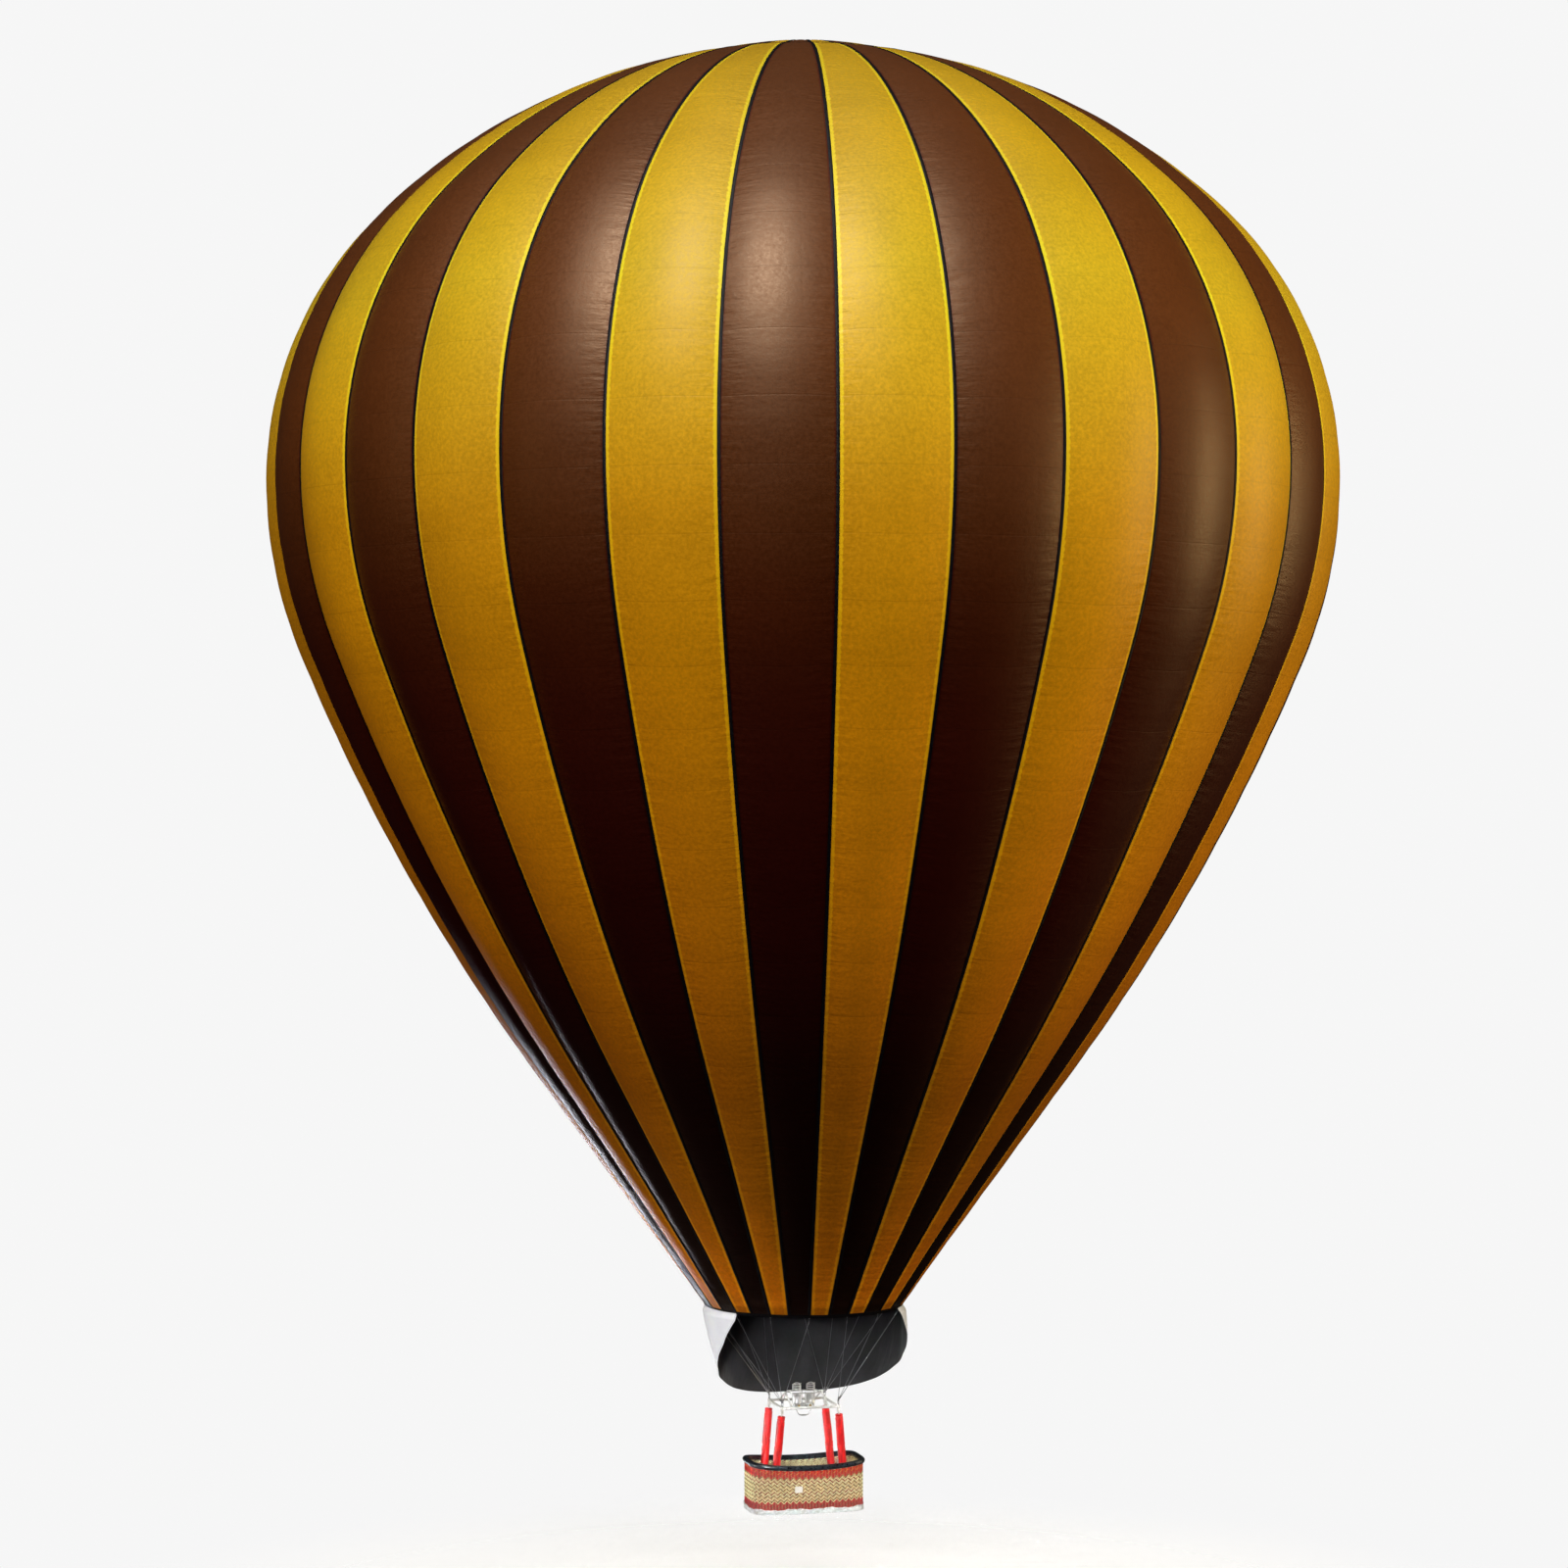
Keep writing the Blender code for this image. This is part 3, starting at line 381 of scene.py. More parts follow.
def block(form, low, high, bevel, rounding, steps):
    """Adds a box with its upright edges rounded and its flat faces bevelled.

    The plan is a rectangle with quarter circles of radius rounding at its corners. Rows go
    down, and the first and last ones draw the plan in along a quarter circle of bevel.
    """
    low, high = np.asarray(low, float), np.asarray(high, float)
    turn = np.linspace(0, math.pi / 2, steps)
    drawn_in = bevel * (1 - np.sin(turn))
    gone_down = bevel * (1 - np.cos(turn))
    inset = np.concatenate([drawn_in, gone_down])
    level = np.concatenate([high[2] - gone_down, low[2] + drawn_in])
    angles = (np.arange(4)[:, None] * math.pi / 2 + turn).ravel()
    sign_x = np.repeat((1, -1, -1, 1), steps)
    sign_y = np.repeat((1, 1, -1, -1), steps)
    middle, half = (low + high)[:2] / 2, (high - low)[:2] / 2
    radius = rounding - np.minimum(inset, rounding * 0.9)[:, None]
    extra = rounding - radius - inset[:, None]
    x = middle[0] + sign_x * (half[0] - rounding + extra) + radius * np.cos(angles)
    y = middle[1] + sign_y * (half[1] - rounding + extra) + radius * np.sin(angles)
    z = np.broadcast_to(level[:, None], x.shape)
    form.grid(np.stack([x, y, z], axis=-1), ends="disc")


def slab(outer, inner):
    """Section of a thin wall: the outer columns, then the inner ones in reverse."""
    return np.concatenate([outer, inner[..., ::-1, :]], axis=-2)


def slab_map(flat):
    """UV map of a thin wall: out over the outer columns and back over the inner ones."""
    return np.concatenate([flat, flat[:, ::-1], flat[:, :1]], axis=1)


def slab_tone(tone):
    """Tone of a thin wall, the same on both its faces."""
    return np.concatenate([tone, tone[:, ::-1]], axis=1)


# Finishes.

def put(tree, socket, value):
    """Links a socket to another node's output or sets its value."""
    if isinstance(value, bpy.types.NodeSocket):
        tree.links.new(value, socket)
    elif socket.type == "RGBA":
        socket.default_value = (*value[:3], 1.0)
    else:
        socket.default_value = value


def add_node(tree, kind, inputs, out=0, **settings):
    """Adds a node and returns one output; inputs are numbers, colours or other outputs."""
    node = tree.nodes.new("ShaderNode" + kind)
    for name, value in settings.items():
        setattr(node, name, value)
    for key, value in inputs.items():
        put(tree, node.inputs[key], value)
    return node.outputs[out]


class Finish:
    """Procedural material built node by node round one principled shader."""

    def __init__(self, name, **constants):
        self.material = bpy.data.materials.new(name)
        self.material.use_nodes = True
        self.tree = self.material.node_tree
        self.tree.nodes.clear()
        self.shader = self.tree.nodes.new("ShaderNodeBsdfPrincipled")
        out = self.tree.nodes.new("ShaderNodeOutputMaterial")
        self.tree.links.new(self.shader.outputs[0], out.inputs[0])
        for key, value in constants.items():
            socket = key.replace("_", " ").title().replace("Ior", "IOR")
            self.shader.inputs[socket].default_value = value

    def add(self, kind, inputs, out=0, **settings):
        """Adds a node to this material and returns one output."""
        return add_node(self.tree, kind, inputs, out, **settings)

    def math(self, operation, *values):
        """Arithmetic on numbers or outputs."""
        return self.add("Math", dict(enumerate(values)), operation=operation)

    def product(self, first, second):
        """Two numbers or outputs multiplied."""
        return self.math("MULTIPLY", first, second)

    def place(self, source="Object", scale=(1, 1, 1)):
        """Coordinates on the object or on its UV map, scaled."""
        return self.add("Mapping", {"Vector": self.add("TexCoord", {}, source), "Scale": scale})

    def axes(self, vector):
        """The three numbers of a vector."""
        node = self.tree.nodes.new("ShaderNodeSeparateXYZ")
        self.tree.links.new(vector, node.inputs[0])
        return node.outputs

    def tone(self):
        """The piece's own attribute."""
        return self.add("Attribute", {}, "Fac", attribute_name="Tone")

    def noise(self, vector, scale, detail=3.0, rough=0.55):
        """Cloudy noise from 0 to 1."""
        return self.add("TexNoise", {"Vector": vector, "Scale": scale, "Detail": detail,
                                     "Roughness": rough})

    def marks(self, value, low=0.0, high=1.0):
        """Carries the middle of a noise, from 0.3 to 0.7, on to another range."""
        return self.span(value, 0.3, 0.7, low, high)

    def span(self, value, low, high, to_low=0.0, to_high=1.0, smooth=False):
        """Carries a range of numbers on to another, held at its ends."""
        return self.add("MapRange", {0: value, 1: low, 2: high, 3: to_low, 4: to_high},
                        interpolation_type="SMOOTHSTEP" if smooth else "LINEAR")

    def mix(self, factor, first, second):
        """Mixes two colours."""
        return self.add("Mix", {0: factor, 6: first, 7: second}, 2, data_type="RGBA")

    def shade(self, colour, value):
        """Multiplies a colour by a number."""
        return self.add("VectorMath", {0: colour, "Scale": value}, operation="SCALE")

    def ramp(self, value, stops, interpolation="LINEAR"):
        """Colour ramp from (place, colour) stops."""
        node = self.tree.nodes.new("ShaderNodeValToRGB")
        self.tree.links.new(value, node.inputs[0])
        node.color_ramp.interpolation = interpolation
        elements = node.color_ramp.elements
        for _ in stops[2:]:
            elements.new(0.5)
        for element, (place, _) in zip(elements, stops):
            element.position = place
        for element, (_, colour) in zip(elements, stops):
            element.color = (*colour[:3], 1.0)
        return node.outputs[0]

    def bump(self, height, strength):
        """Lights the surface as if it had this height in metres."""
        normal = self.add("Bump", {"Height": height, "Strength": strength, "Distance": 1.0})
        self.tree.links.new(normal, self.shader.inputs["Normal"])

    def finish(self, colour, roughness):
        """Links the colour and the roughness, and returns the material."""
        put(self.tree, self.shader.inputs["Base Color"], colour)
        put(self.tree, self.shader.inputs["Roughness"], roughness)
        return self.material


# Painted shade on the cloth from the vent to the mouth: the colour darkens and warms downwards,
# with a painted highlight where it brightens near the top and, on the yellow, just above the hem;
# each stop is a place between the two and the shares of red, green and blue that are left.
YELLOW_PAINTED_SHADE = (
    (0.00, 0.90, 0.84, 0.25), (0.20, 0.90, 0.86, 0.25), (0.30, 0.93, 1.00, 0.50),
    (0.38, 0.94, 0.84, 0.30), (0.44, 0.84, 0.62, 0.12), (0.55, 0.90, 0.56, 0.06),
    (0.67, 0.93, 0.50, 0.07), (0.74, 0.83, 0.41, 0.07), (0.81, 0.68, 0.32, 0.08),
    (0.89, 0.74, 0.36, 0.09), (0.98, 1.00, 0.42, 0.12), (1.00, 0.55, 0.25, 0.07))
BROWN_PAINTED_SHADE = (
    (0.00, 1.00, 1.00, 1.00), (0.32, 0.95, 0.95, 1.00), (0.39, 0.74, 0.72, 0.80),
    (0.44, 0.58, 0.50, 0.40), (0.49, 0.44, 0.26, 0.13), (0.55, 0.32, 0.11, 0.08),
    (0.61, 0.26, 0.05, 0.08), (0.67, 0.21, 0.02, 0.05), (0.74, 0.17, 0.02, 0.12),
    (0.81, 0.08, 0.01, 0.02), (1.00, 0.05, 0.02, 0.10))


def gore_fabric(name, base, painted_shade, edge, edge_width, gloss):
    """Coated cloth of a gore: grain, panel seams, puckers by the tapes and an edge band along the
    tapes, brighter on the yellow and a painted shade of the groove on the brown.

    Tone is the distance from the nearest tape. The UV map holds metres across and along.
    The cloth is mottled between two casts of its colour, and edge is the cast of its edge.
    """
    f = Finish(name, specular_ior_level=gloss, specular_tint=(1.0, 0.70, 0.44, 1.0))
    u, v, _ = f.axes(f.place("UV"))
    near = f.tone()
    down = f.span(v, VENT_S, MOUTH_S)

    # Ramp of painted shade down the gore: the colour at each length stands in for the light it gets
    # there.
    def painted_shade_ramp(cast):
        colours = [np.minimum(np.multiply(base, left) * cast, 0.95) for _, *left in painted_shade]
        return f.ramp(down, [(stop[0], colour) for stop, colour in zip(painted_shade, colours)])

    mottle = f.span(f.noise(f.place(), 0.45, 2.0), 0.35, 0.65)
    colour = f.mix(mottle, painted_shade_ramp(0.94), painted_shade_ramp(1.06))
    grain = f.noise(f.place(), 17.0, 2.0, 0.6)
    colour = f.shade(colour, f.marks(grain, 0.86, 1.14))
    across = f.math("PINGPONG", f.math("SUBTRACT", v, VENT_S), PANEL / 2)
    seam = f.span(across, 0.016, 0.009)
    colour = f.shade(colour, f.math("SUBTRACT", 1.0, f.product(seam, 0.07)))
    tooth = f.math("PINGPONG", v, 0.06)
    wander = f.marks(f.noise(f.place("UV"), 9.0), -0.008, 0.008)
    ragged = f.math("MULTIPLY_ADD", tooth, 0.25, wander)
    # Band along the tapes with a ragged inner edge: a brighter yellow on the yellow cloth, and on
    # the brown a painted shade of the groove beside the tape.
    tinted = f.span(f.math("SUBTRACT", near, ragged), edge_width, edge_width - 0.02)
    colour = f.mix(tinted, colour, painted_shade_ramp(np.array(edge)))
    row = f.span(f.math("ABSOLUTE", f.math("SUBTRACT", near, 0.042)), 0.003, 0.001)
    stitch = f.product(row, f.math("GREATER_THAN", f.math("PINGPONG", v, 0.012), 0.004))
    colour = f.shade(colour, f.math("SUBTRACT", 1.0, f.product(stitch, 0.35)))

    pucker = f.noise(f.place("UV", (1.6, 6.5, 1.0)), 1.0, 3.0, 0.5)
    by_tape = f.span(near, 0.55, 0.0, 0.15, 1.0)
    height = f.product(f.product(pucker, by_tape), 0.030)
    crinkle = f.math("MULTIPLY_ADD", f.noise(f.place(), 11.0, 3.0), 0.0035, height)
    panel_tuck = f.math("MULTIPLY_ADD", seam, -0.0015, crinkle)
    threads = [f.span(f.math("PINGPONG", way, 0.005), 0.0012, 0.0) for way in (u, v)]
    f.bump(f.math("MULTIPLY_ADD", f.math("MAXIMUM", *threads), 0.0001, panel_tuck), 0.75)
    return f.finish(colour, f.marks(grain, 0.43, 0.53))


def gore_cloths(look, kind):
    """The yellow and the brown cloth of the gores or of the valve."""
    # The brown's darker edge cast is painted shade of the groove beside each tape.
    return (gore_fabric(f"Yellow {kind}", look.yellow, YELLOW_PAINTED_SHADE, (1.36, 1.72, 1.5), 0.092, 0.30),
            gore_fabric(f"Brown {kind}", look.brown, BROWN_PAINTED_SHADE, (0.75, 0.35, 0.5), 0.06, 0.5))


def webbing(name, colour):
    """Woven tape: cross ribs and worn fibres."""
    f = Finish(name, specular_ior_level=0.15)
    _, v, _ = f.axes(f.place("UV"))
    rib = f.math("PINGPONG", v, 0.003)
    worn = f.noise(f.place(), 24.0, 3.0)
    f.bump(f.math("MULTIPLY_ADD", rib, 0.5, f.product(worn, 0.002)), 0.7)
    return f.finish(f.shade(colour, f.span(worn, 0.35, 0.75, 0.7, 1.9)), f.marks(worn, 0.42, 0.6))


def brushed_metal(name, colour, roughness=0.28, stretch=(4, 4, 60), scale=12.0, metallic=0.6):
    """Metal with fine scratches across its length and slight heat or handling stains."""
    f = Finish(name, metallic=metallic)
    scratch = f.noise(f.place(scale=stretch), scale, 4.0)
    tint = f.shade(colour, f.marks(f.noise(f.place(), 9.0, 3.0), 0.86, 1.06))
    f.bump(f.product(scratch, 0.0004), 0.5)
    return f.finish(tint, f.marks(scratch, roughness - 0.06, roughness + 0.1))


# Envelope.

def outline(s):
    """Radius, height and outward normal of the outline at lengths s from the crown.

    Four circular arcs follow one another, then a straight cone down to the mouth. At the
    crown the pull of the load tapes lifts the cloth by a smooth step.
    """
    s = np.asarray(s, float)
    cone = np.maximum(s - CONE_TOP_S, 0)
    radius = CONE_TOP_RADIUS - cone * math.sin(CONE_ANGLE)
    height = CONE_TOP_Z - cone * math.cos(CONE_ANGLE)
    slope = np.full_like(s, CONE_ANGLE)
    start = 0.0
    for (centre, bend, first, _), length in zip(ARCS, ARC_LENGTHS):
        here = (s >= start) & (s <= start + length)
        angle = first + (s - start) / bend
        radius = np.where(here, centre[0] + bend * np.cos(angle), radius)
        height = np.where(here, centre[1] - bend * np.sin(angle), height)
        slope = np.where(here, angle, slope)
        start += length
    part = np.clip((CROWN_RISE_FOOT - radius) / (CROWN_RISE_FOOT - CROWN_RISE_TOP), 0, 1)
    height = height + np.where(height > 0, CROWN_RISE * part * part * (3 - 2 * part), 0)
    return radius, height, np.cos(slope), -np.sin(slope)


def skin(s, azimuth, lift, depth, shift=0.0):
    """Point of the skin: the outline turned round Z, raised between the seams.

    Across a gore the rise is a parabola, which at the seams lies depth below the middle;
    depth itself follows half a sine wave from the vent's band to the hem.
    """
    radius, height, out_r, out_z = outline(s)
    across = azimuth / GORE_ANGLE % 1.0
    out = lift - seam_depth(s, depth) * (2 * across - 1) ** 2
    turn = azimuth + shift / radius
    reach = radius + out * out_r
    point = np.broadcast_arrays(reach * np.sin(turn), -reach * np.cos(turn), height + out * out_z)
    return np.stack(point, axis=-1)


def seam_depth(s, depth):
    """How far the seams lie below the middle of the gores: a flattened half sine wave."""
    part = np.clip((s - BAND_S) / (HEM_S - BAND_S), 0.0, 1.0)
    return depth * np.sin(math.pi * part) ** 0.8


def gore_rows():
    """Lengths of the rings of points: five to each cloth panel, then the hem."""
    return np.concatenate([VENT_S + np.arange(5 * PANELS + 1) * PANEL / 5,
                           [HEM_S + 0.02, HEM_S + 0.15, MOUTH_S - HEM_BAND]])


def make_gores(look):
    """Sixteen yellow and sixteen brown gores, closed sheets 10 mm thick from vent to hem.

    A cloth panel sags between its cross seams as a shallow parabola that dies out at the
    tapes. The last band of the hem is left to the black hem tape.
    """
    s = gore_rows()[:, None]
    t = np.linspace(0, 1, 17)
    panel = ((s - VENT_S) / PANEL) % 1.0
    sag = -look.panel_sag * (2 * panel - 1) ** 2 * (1 - (2 * t - 1) ** 4) * (s < HEM_S)
    width = outline(s)[0] * GORE_ANGLE
    to_tape = (0.5 - np.abs(t - 0.5)) * width
    flat = np.stack(np.broadcast_arrays((t - 0.5) * width, s), axis=-1)
    shift = (0.5 - t) * GAP
    for first, colour, cloth in zip((1, 0), ("yellow", "brown"), gore_cloths(look, "cloth")):
        gores = np.arange(first, GORES, 2)[:, None, None]
        azimuth = (gores + t) * GORE_ANGLE
        outer = skin(s, azimuth, sag, look.seam_depth, shift)
        inner = skin(s, azimuth, sag - FABRIC, look.seam_depth, shift)
        form = Form()
        form.grid(slab(outer, inner), ends="zip", uv=slab_map(flat), tone=slab_tone(to_tape))
        form.make(f"{colour}_gores", "root", [cloth], [f"gores_{colour}"], 60)


def make_load_tapes(look):
    """Tapes along the seams, gathered by a hub on the crown, a ring at the vent and a hem tape.

    A tape's edges lie on the cloth at both sides of the groove and its middle sinks a third
    of the way into it. Its section has five points above and five below.
    """
    form = Form()
    s = np.concatenate([np.linspace(HUB_OUTER - 0.02, VENT_S, 9)[:-1], gore_rows(), [MOUTH_S]])
    s = s[:, None]
    gore_width = outline(s)[0] * GORE_ANGLE
    half = np.minimum(look.tape_width / 2, 0.36 * gore_width)
    groove = seam_depth(s, look.seam_depth) * 4 * (half / gore_width) * (1 - half / gore_width)
    side = np.array((-1, -0.9, 0, 0.9, 1))
    under = groove * (1 - 0.35 * (1 - np.abs(side))) + TAPE_LIFT
    top = under + np.array((0.002, 0.005, 0.006, 0.005, 0.002))
    seams = np.arange(GORES)[:, None, None] * GORE_ANGLE
    outer = skin(s, seams, top, look.seam_depth, side * half)
    inner = skin(s, seams, under, look.seam_depth, side * half)
    flat = np.stack(np.broadcast_arrays(side * half, s), axis=-1)
    form.grid(slab(outer, inner), ends="zip", uv=slab_map(flat))
    ring_tape(form, HUB_INNER, HUB_OUTER, 0.0, 0.0095)
    ring_tape(form, VENT_S - 0.03, VENT_S + 0.04, 0.0, 0.004)
    ring_tape(form, MOUTH_S - HEM_BAND - 0.01, MOUTH_S + 0.012, -FABRIC - 0.004, 0.0065)
    form.make("sewn_tapes", "root", [webbing("Black tape", look.tape)],
              ["load_tapes"], 50)


def ring_tape(form, first, last, low, high):
    """Closed band round the envelope between two lengths, with its faces at two lifts."""
    azimuth = np.arange(4 * GORES) * GORE_ANGLE / 4
    s = np.array((first, first, (first + last) / 2, last, last, (first + last) / 2))
    lift = np.array((low, high, high + 0.001, high, low, low))
    points = skin(s[:, None], azimuth, lift[:, None], 0.0)
    turn = np.arange(4 * GORES + 1) * GORE_ANGLE / 4 * outline(last)[0]
    uv = np.stack(np.broadcast_arrays(np.append(s, first)[:, None] * 0.5, turn), axis=-1)
    form.grid(points, along=True, uv=uv)


def make_crown(look):
    """Parachute valve that bulges a little between the tapes, and the steel ring above it.

    The valve's rise between two tapes is a parabola as high as a share of their distance; it
    dies out where the valve lies under the vent's edge.
    """
    edge = VENT_S - 0.03
    rows = np.concatenate([[0.02], np.linspace(0.12, VENT_S - 0.12, 18), [edge, VALVE_S]])[:, None]
    azimuth = np.arange(8 * GORES) * GORE_ANGLE / 8
    across = azimuth / GORE_ANGLE % 1.0
    radius = outline(rows)[0]
    inside = np.clip((edge - rows) / 0.25, 0, 1) * np.clip((rows - 0.3) / 0.6, 0, 1)
    rise = look.valve_bulge * radius * GORE_ANGLE * (1 - (2 * across - 1) ** 2) * inside
    top = -FABRIC - 2 * GAP + rise
    outer = skin(rows, azimuth, top, 0.0)
    inner = skin(rows, azimuth, top - FABRIC, 0.0)[::-1]
    turns = np.append(azimuth, 2 * math.pi)
    flat = np.stack(np.broadcast_arrays(turns * radius, rows), axis=-1)
    form = Form()
    form.grid(np.concatenate([outer, inner]), ends="disc", uv=np.concatenate([flat, flat[::-1]]),
              tone=FAR_FROM_TAPES)
    gore = np.arange(len(azimuth)) * GORES // len(azimuth)
    form.slots[0][:] = np.tile(1 - gore % 2, 2 * len(rows) - 1)
    form.make("valve_panel", "valve", gore_cloths(look, "valve cloth"),
              ["parachute_valve"], 60)

    height = (float(outline(CROWN_RING_RADIUS)[1]) + TAPE_LIFT + TAPE_THICKNESS
              + CROWN_RING_TUBE + GAP)
    form = Form()
    tube(form, circle(CROWN_RING_RADIUS, height, 96), CROWN_RING_TUBE, 16, closed=True)
    form.make("steel_crown_ring", "root",
              [brushed_metal("Crown steel", (0.62, 0.62, 0.61))], ["crown_ring"])


# Scoop.

def scoop_cloth(name, colour, light):
    """Flame resistant cloth with a fine twill, soft folds and a stitched hem.

    Tone is the distance from the cloth's edge.
    """
    f = Finish(name, sheen_weight=0.25, sheen_roughness=0.5, specular_ior_level=0.25)
    u, v, _ = f.axes(f.place("UV"))
    cloud = f.noise(f.place(), 2.2, 4.0)
    tint = f.mix(f.span(cloud, 0.35, 0.7), colour, light)
    hem = f.span(f.math("ABSOLUTE", f.math("SUBTRACT", f.tone(), 0.035)), 0.004, 0.002)
    tint = f.shade(tint, f.math("SUBTRACT", 1.0, f.product(hem, 0.4)))
    fold = f.noise(f.place("UV", (3.0, 0.7, 1.0)), 1.4, 3.0)
    twill = f.math("PINGPONG", f.math("ADD", u, v), 0.004)
    height = f.math("MULTIPLY_ADD", fold, 0.035, f.product(twill, 0.06))
    f.bump(f.math("MULTIPLY_ADD", hem, -0.002, height), 0.7)
    return f.finish(tint, f.marks(cloud, 0.55, 0.75))


def make_scoop(look):
    """Cloth scoop: rows fall from a lap on the hem to an edge that is lowest at the back.

    The drop grows from nothing at both front edges as one minus a power of the way left to
    the back. The radius runs smoothly from the hem to the flare and then in towards the low
    edge; upright folds, two sines of the azimuth, grow with the fall. The wind's lean grows
    with the fall too, quickly at first.
    """
    azimuth = np.linspace(SCOOP_START, 2 * math.pi - SCOOP_START, 201)
    part = 1 - np.abs(azimuth - math.pi) / (math.pi - SCOOP_START)
    drop = SCOOP_DROP * (1 - (1 - part) ** SCOOP_CURVE)
    lap = np.array((-SCOOP_LAP, -SCOOP_LAP / 2, 0.0, 0.03, 0.06))[:, None]
    down = np.linspace(0, 1, 40)[:, None]
    fall = np.concatenate([lap + 0 * drop, SCOOP_FLARE + drop * down])
    flare = np.clip(fall / SCOOP_FLARE, 0, 1)
    flare = flare * flare * (3 - 2 * flare)
    taper = (np.clip(fall - SCOOP_FLARE, 0, None) / SCOOP_DROP) ** 1.5
    sway = np.sin(16 * azimuth) + 0.5 * np.sin(27 * azimuth + 1.1)
    radius = (SCOOP_TOP_RADIUS + (SCOOP_FLARE_RADIUS - SCOOP_TOP_RADIUS) * flare
              + np.clip(-fall, 0, None) * math.tan(CONE_ANGLE)
              + (SCOOP_LOW_RADIUS - SCOOP_FLARE_RADIUS) * taper
              + look.scoop_fold * sway * np.clip(fall, 0, 0.6))
    lean = look.scoop_lean * (1 - (1 - np.clip(fall / SCOOP_DROP, 0, 1)) ** 1.5)

    def wall(reach):
        return np.stack([reach * np.sin(azimuth) + lean, -reach * np.cos(azimuth),
                         MOUTH_Z - fall], axis=-1)

    to_side = SCOOP_FLARE_RADIUS * (math.pi - SCOOP_START) * part
    to_edge = np.minimum(fall[-1] - fall, to_side)
    flat = np.stack([azimuth * radius, fall], axis=-1)
    inner = radius + SCOOP_EASE
    form = Form()
    form.grid(slab(wall(inner + SCOOP_CLOTH), wall(inner)), ends="zip", uv=slab_map(flat),
              tone=slab_tone(to_edge))
    outside = form.slots[0].reshape(len(fall) - 1, -1)
    outside[:, :len(azimuth) - 1] = 1
    # The inside's charcoal cloth is a painted shade of the scoop's hollow; the outside is pale
    # cloth.
    cloths = [scoop_cloth("Scoop inside shade", look.scoop_inside_shade, [c * 1.6 for c in look.scoop_inside_shade]),
              scoop_cloth("Scoop outside", look.scoop_outside,
                          [c * 1.08 for c in look.scoop_outside])]
    piece = form.make("hanging_scoop", "root", cloths, ["scoop"], 60)


# Frame, wires and uprights.

def frame_corner(side_x, side_y):
    """Centre of a corner of the burner frame."""
    return np.array((side_x * FRAME_HALF[0], side_y * FRAME_HALF[1], FRAME_Z))


def upright_line(side_x, side_y):
    """Corner of the frame, direction down its upright and length to the basket's floor."""
    corner = frame_corner(side_x, side_y)
    line = np.array((side_x * UPRIGHT_FOOT[0], side_y * UPRIGHT_FOOT[1], FLOOR_TOP)) - corner
    return corner, unit(line), float(np.linalg.norm(line))


def bolt(form, place, axis, radius=0.008, slot=0):
    """Adds a domed bolt head on a washer."""
    dome = [(1.6, 0), (1.6, 0.25), (1.05, 0.3), (1, 0.5), (0.92, 0.95), (0.6, 1.2)]
    turned(form, np.array(dome) * radius, place, axis, 12, slot)


def painted_tube(name, colour):
    """White paint on tube: faint orange peel, grime in streaks and a few rubbed spots."""
    f = Finish(name, specular_ior_level=0.5, coat_weight=0.25, coat_roughness=0.2)
    grime = f.noise(f.place(scale=(1, 1, 0.4)), 18.0, 4.0)
    tint = f.mix(f.span(grime, 0.5, 0.72), colour, (0.58, 0.57, 0.54))
    rub = f.span(f.noise(f.place(), 42.0, 2.0), 0.70, 0.74)
    tint = f.mix(f.product(rub, 0.6), tint, (0.30, 0.30, 0.31))
    f.bump(f.product(f.noise(f.place(), 160.0, 2.0), 0.0003), 0.4)
    return f.finish(tint, f.marks(grime, 0.26, 0.42))


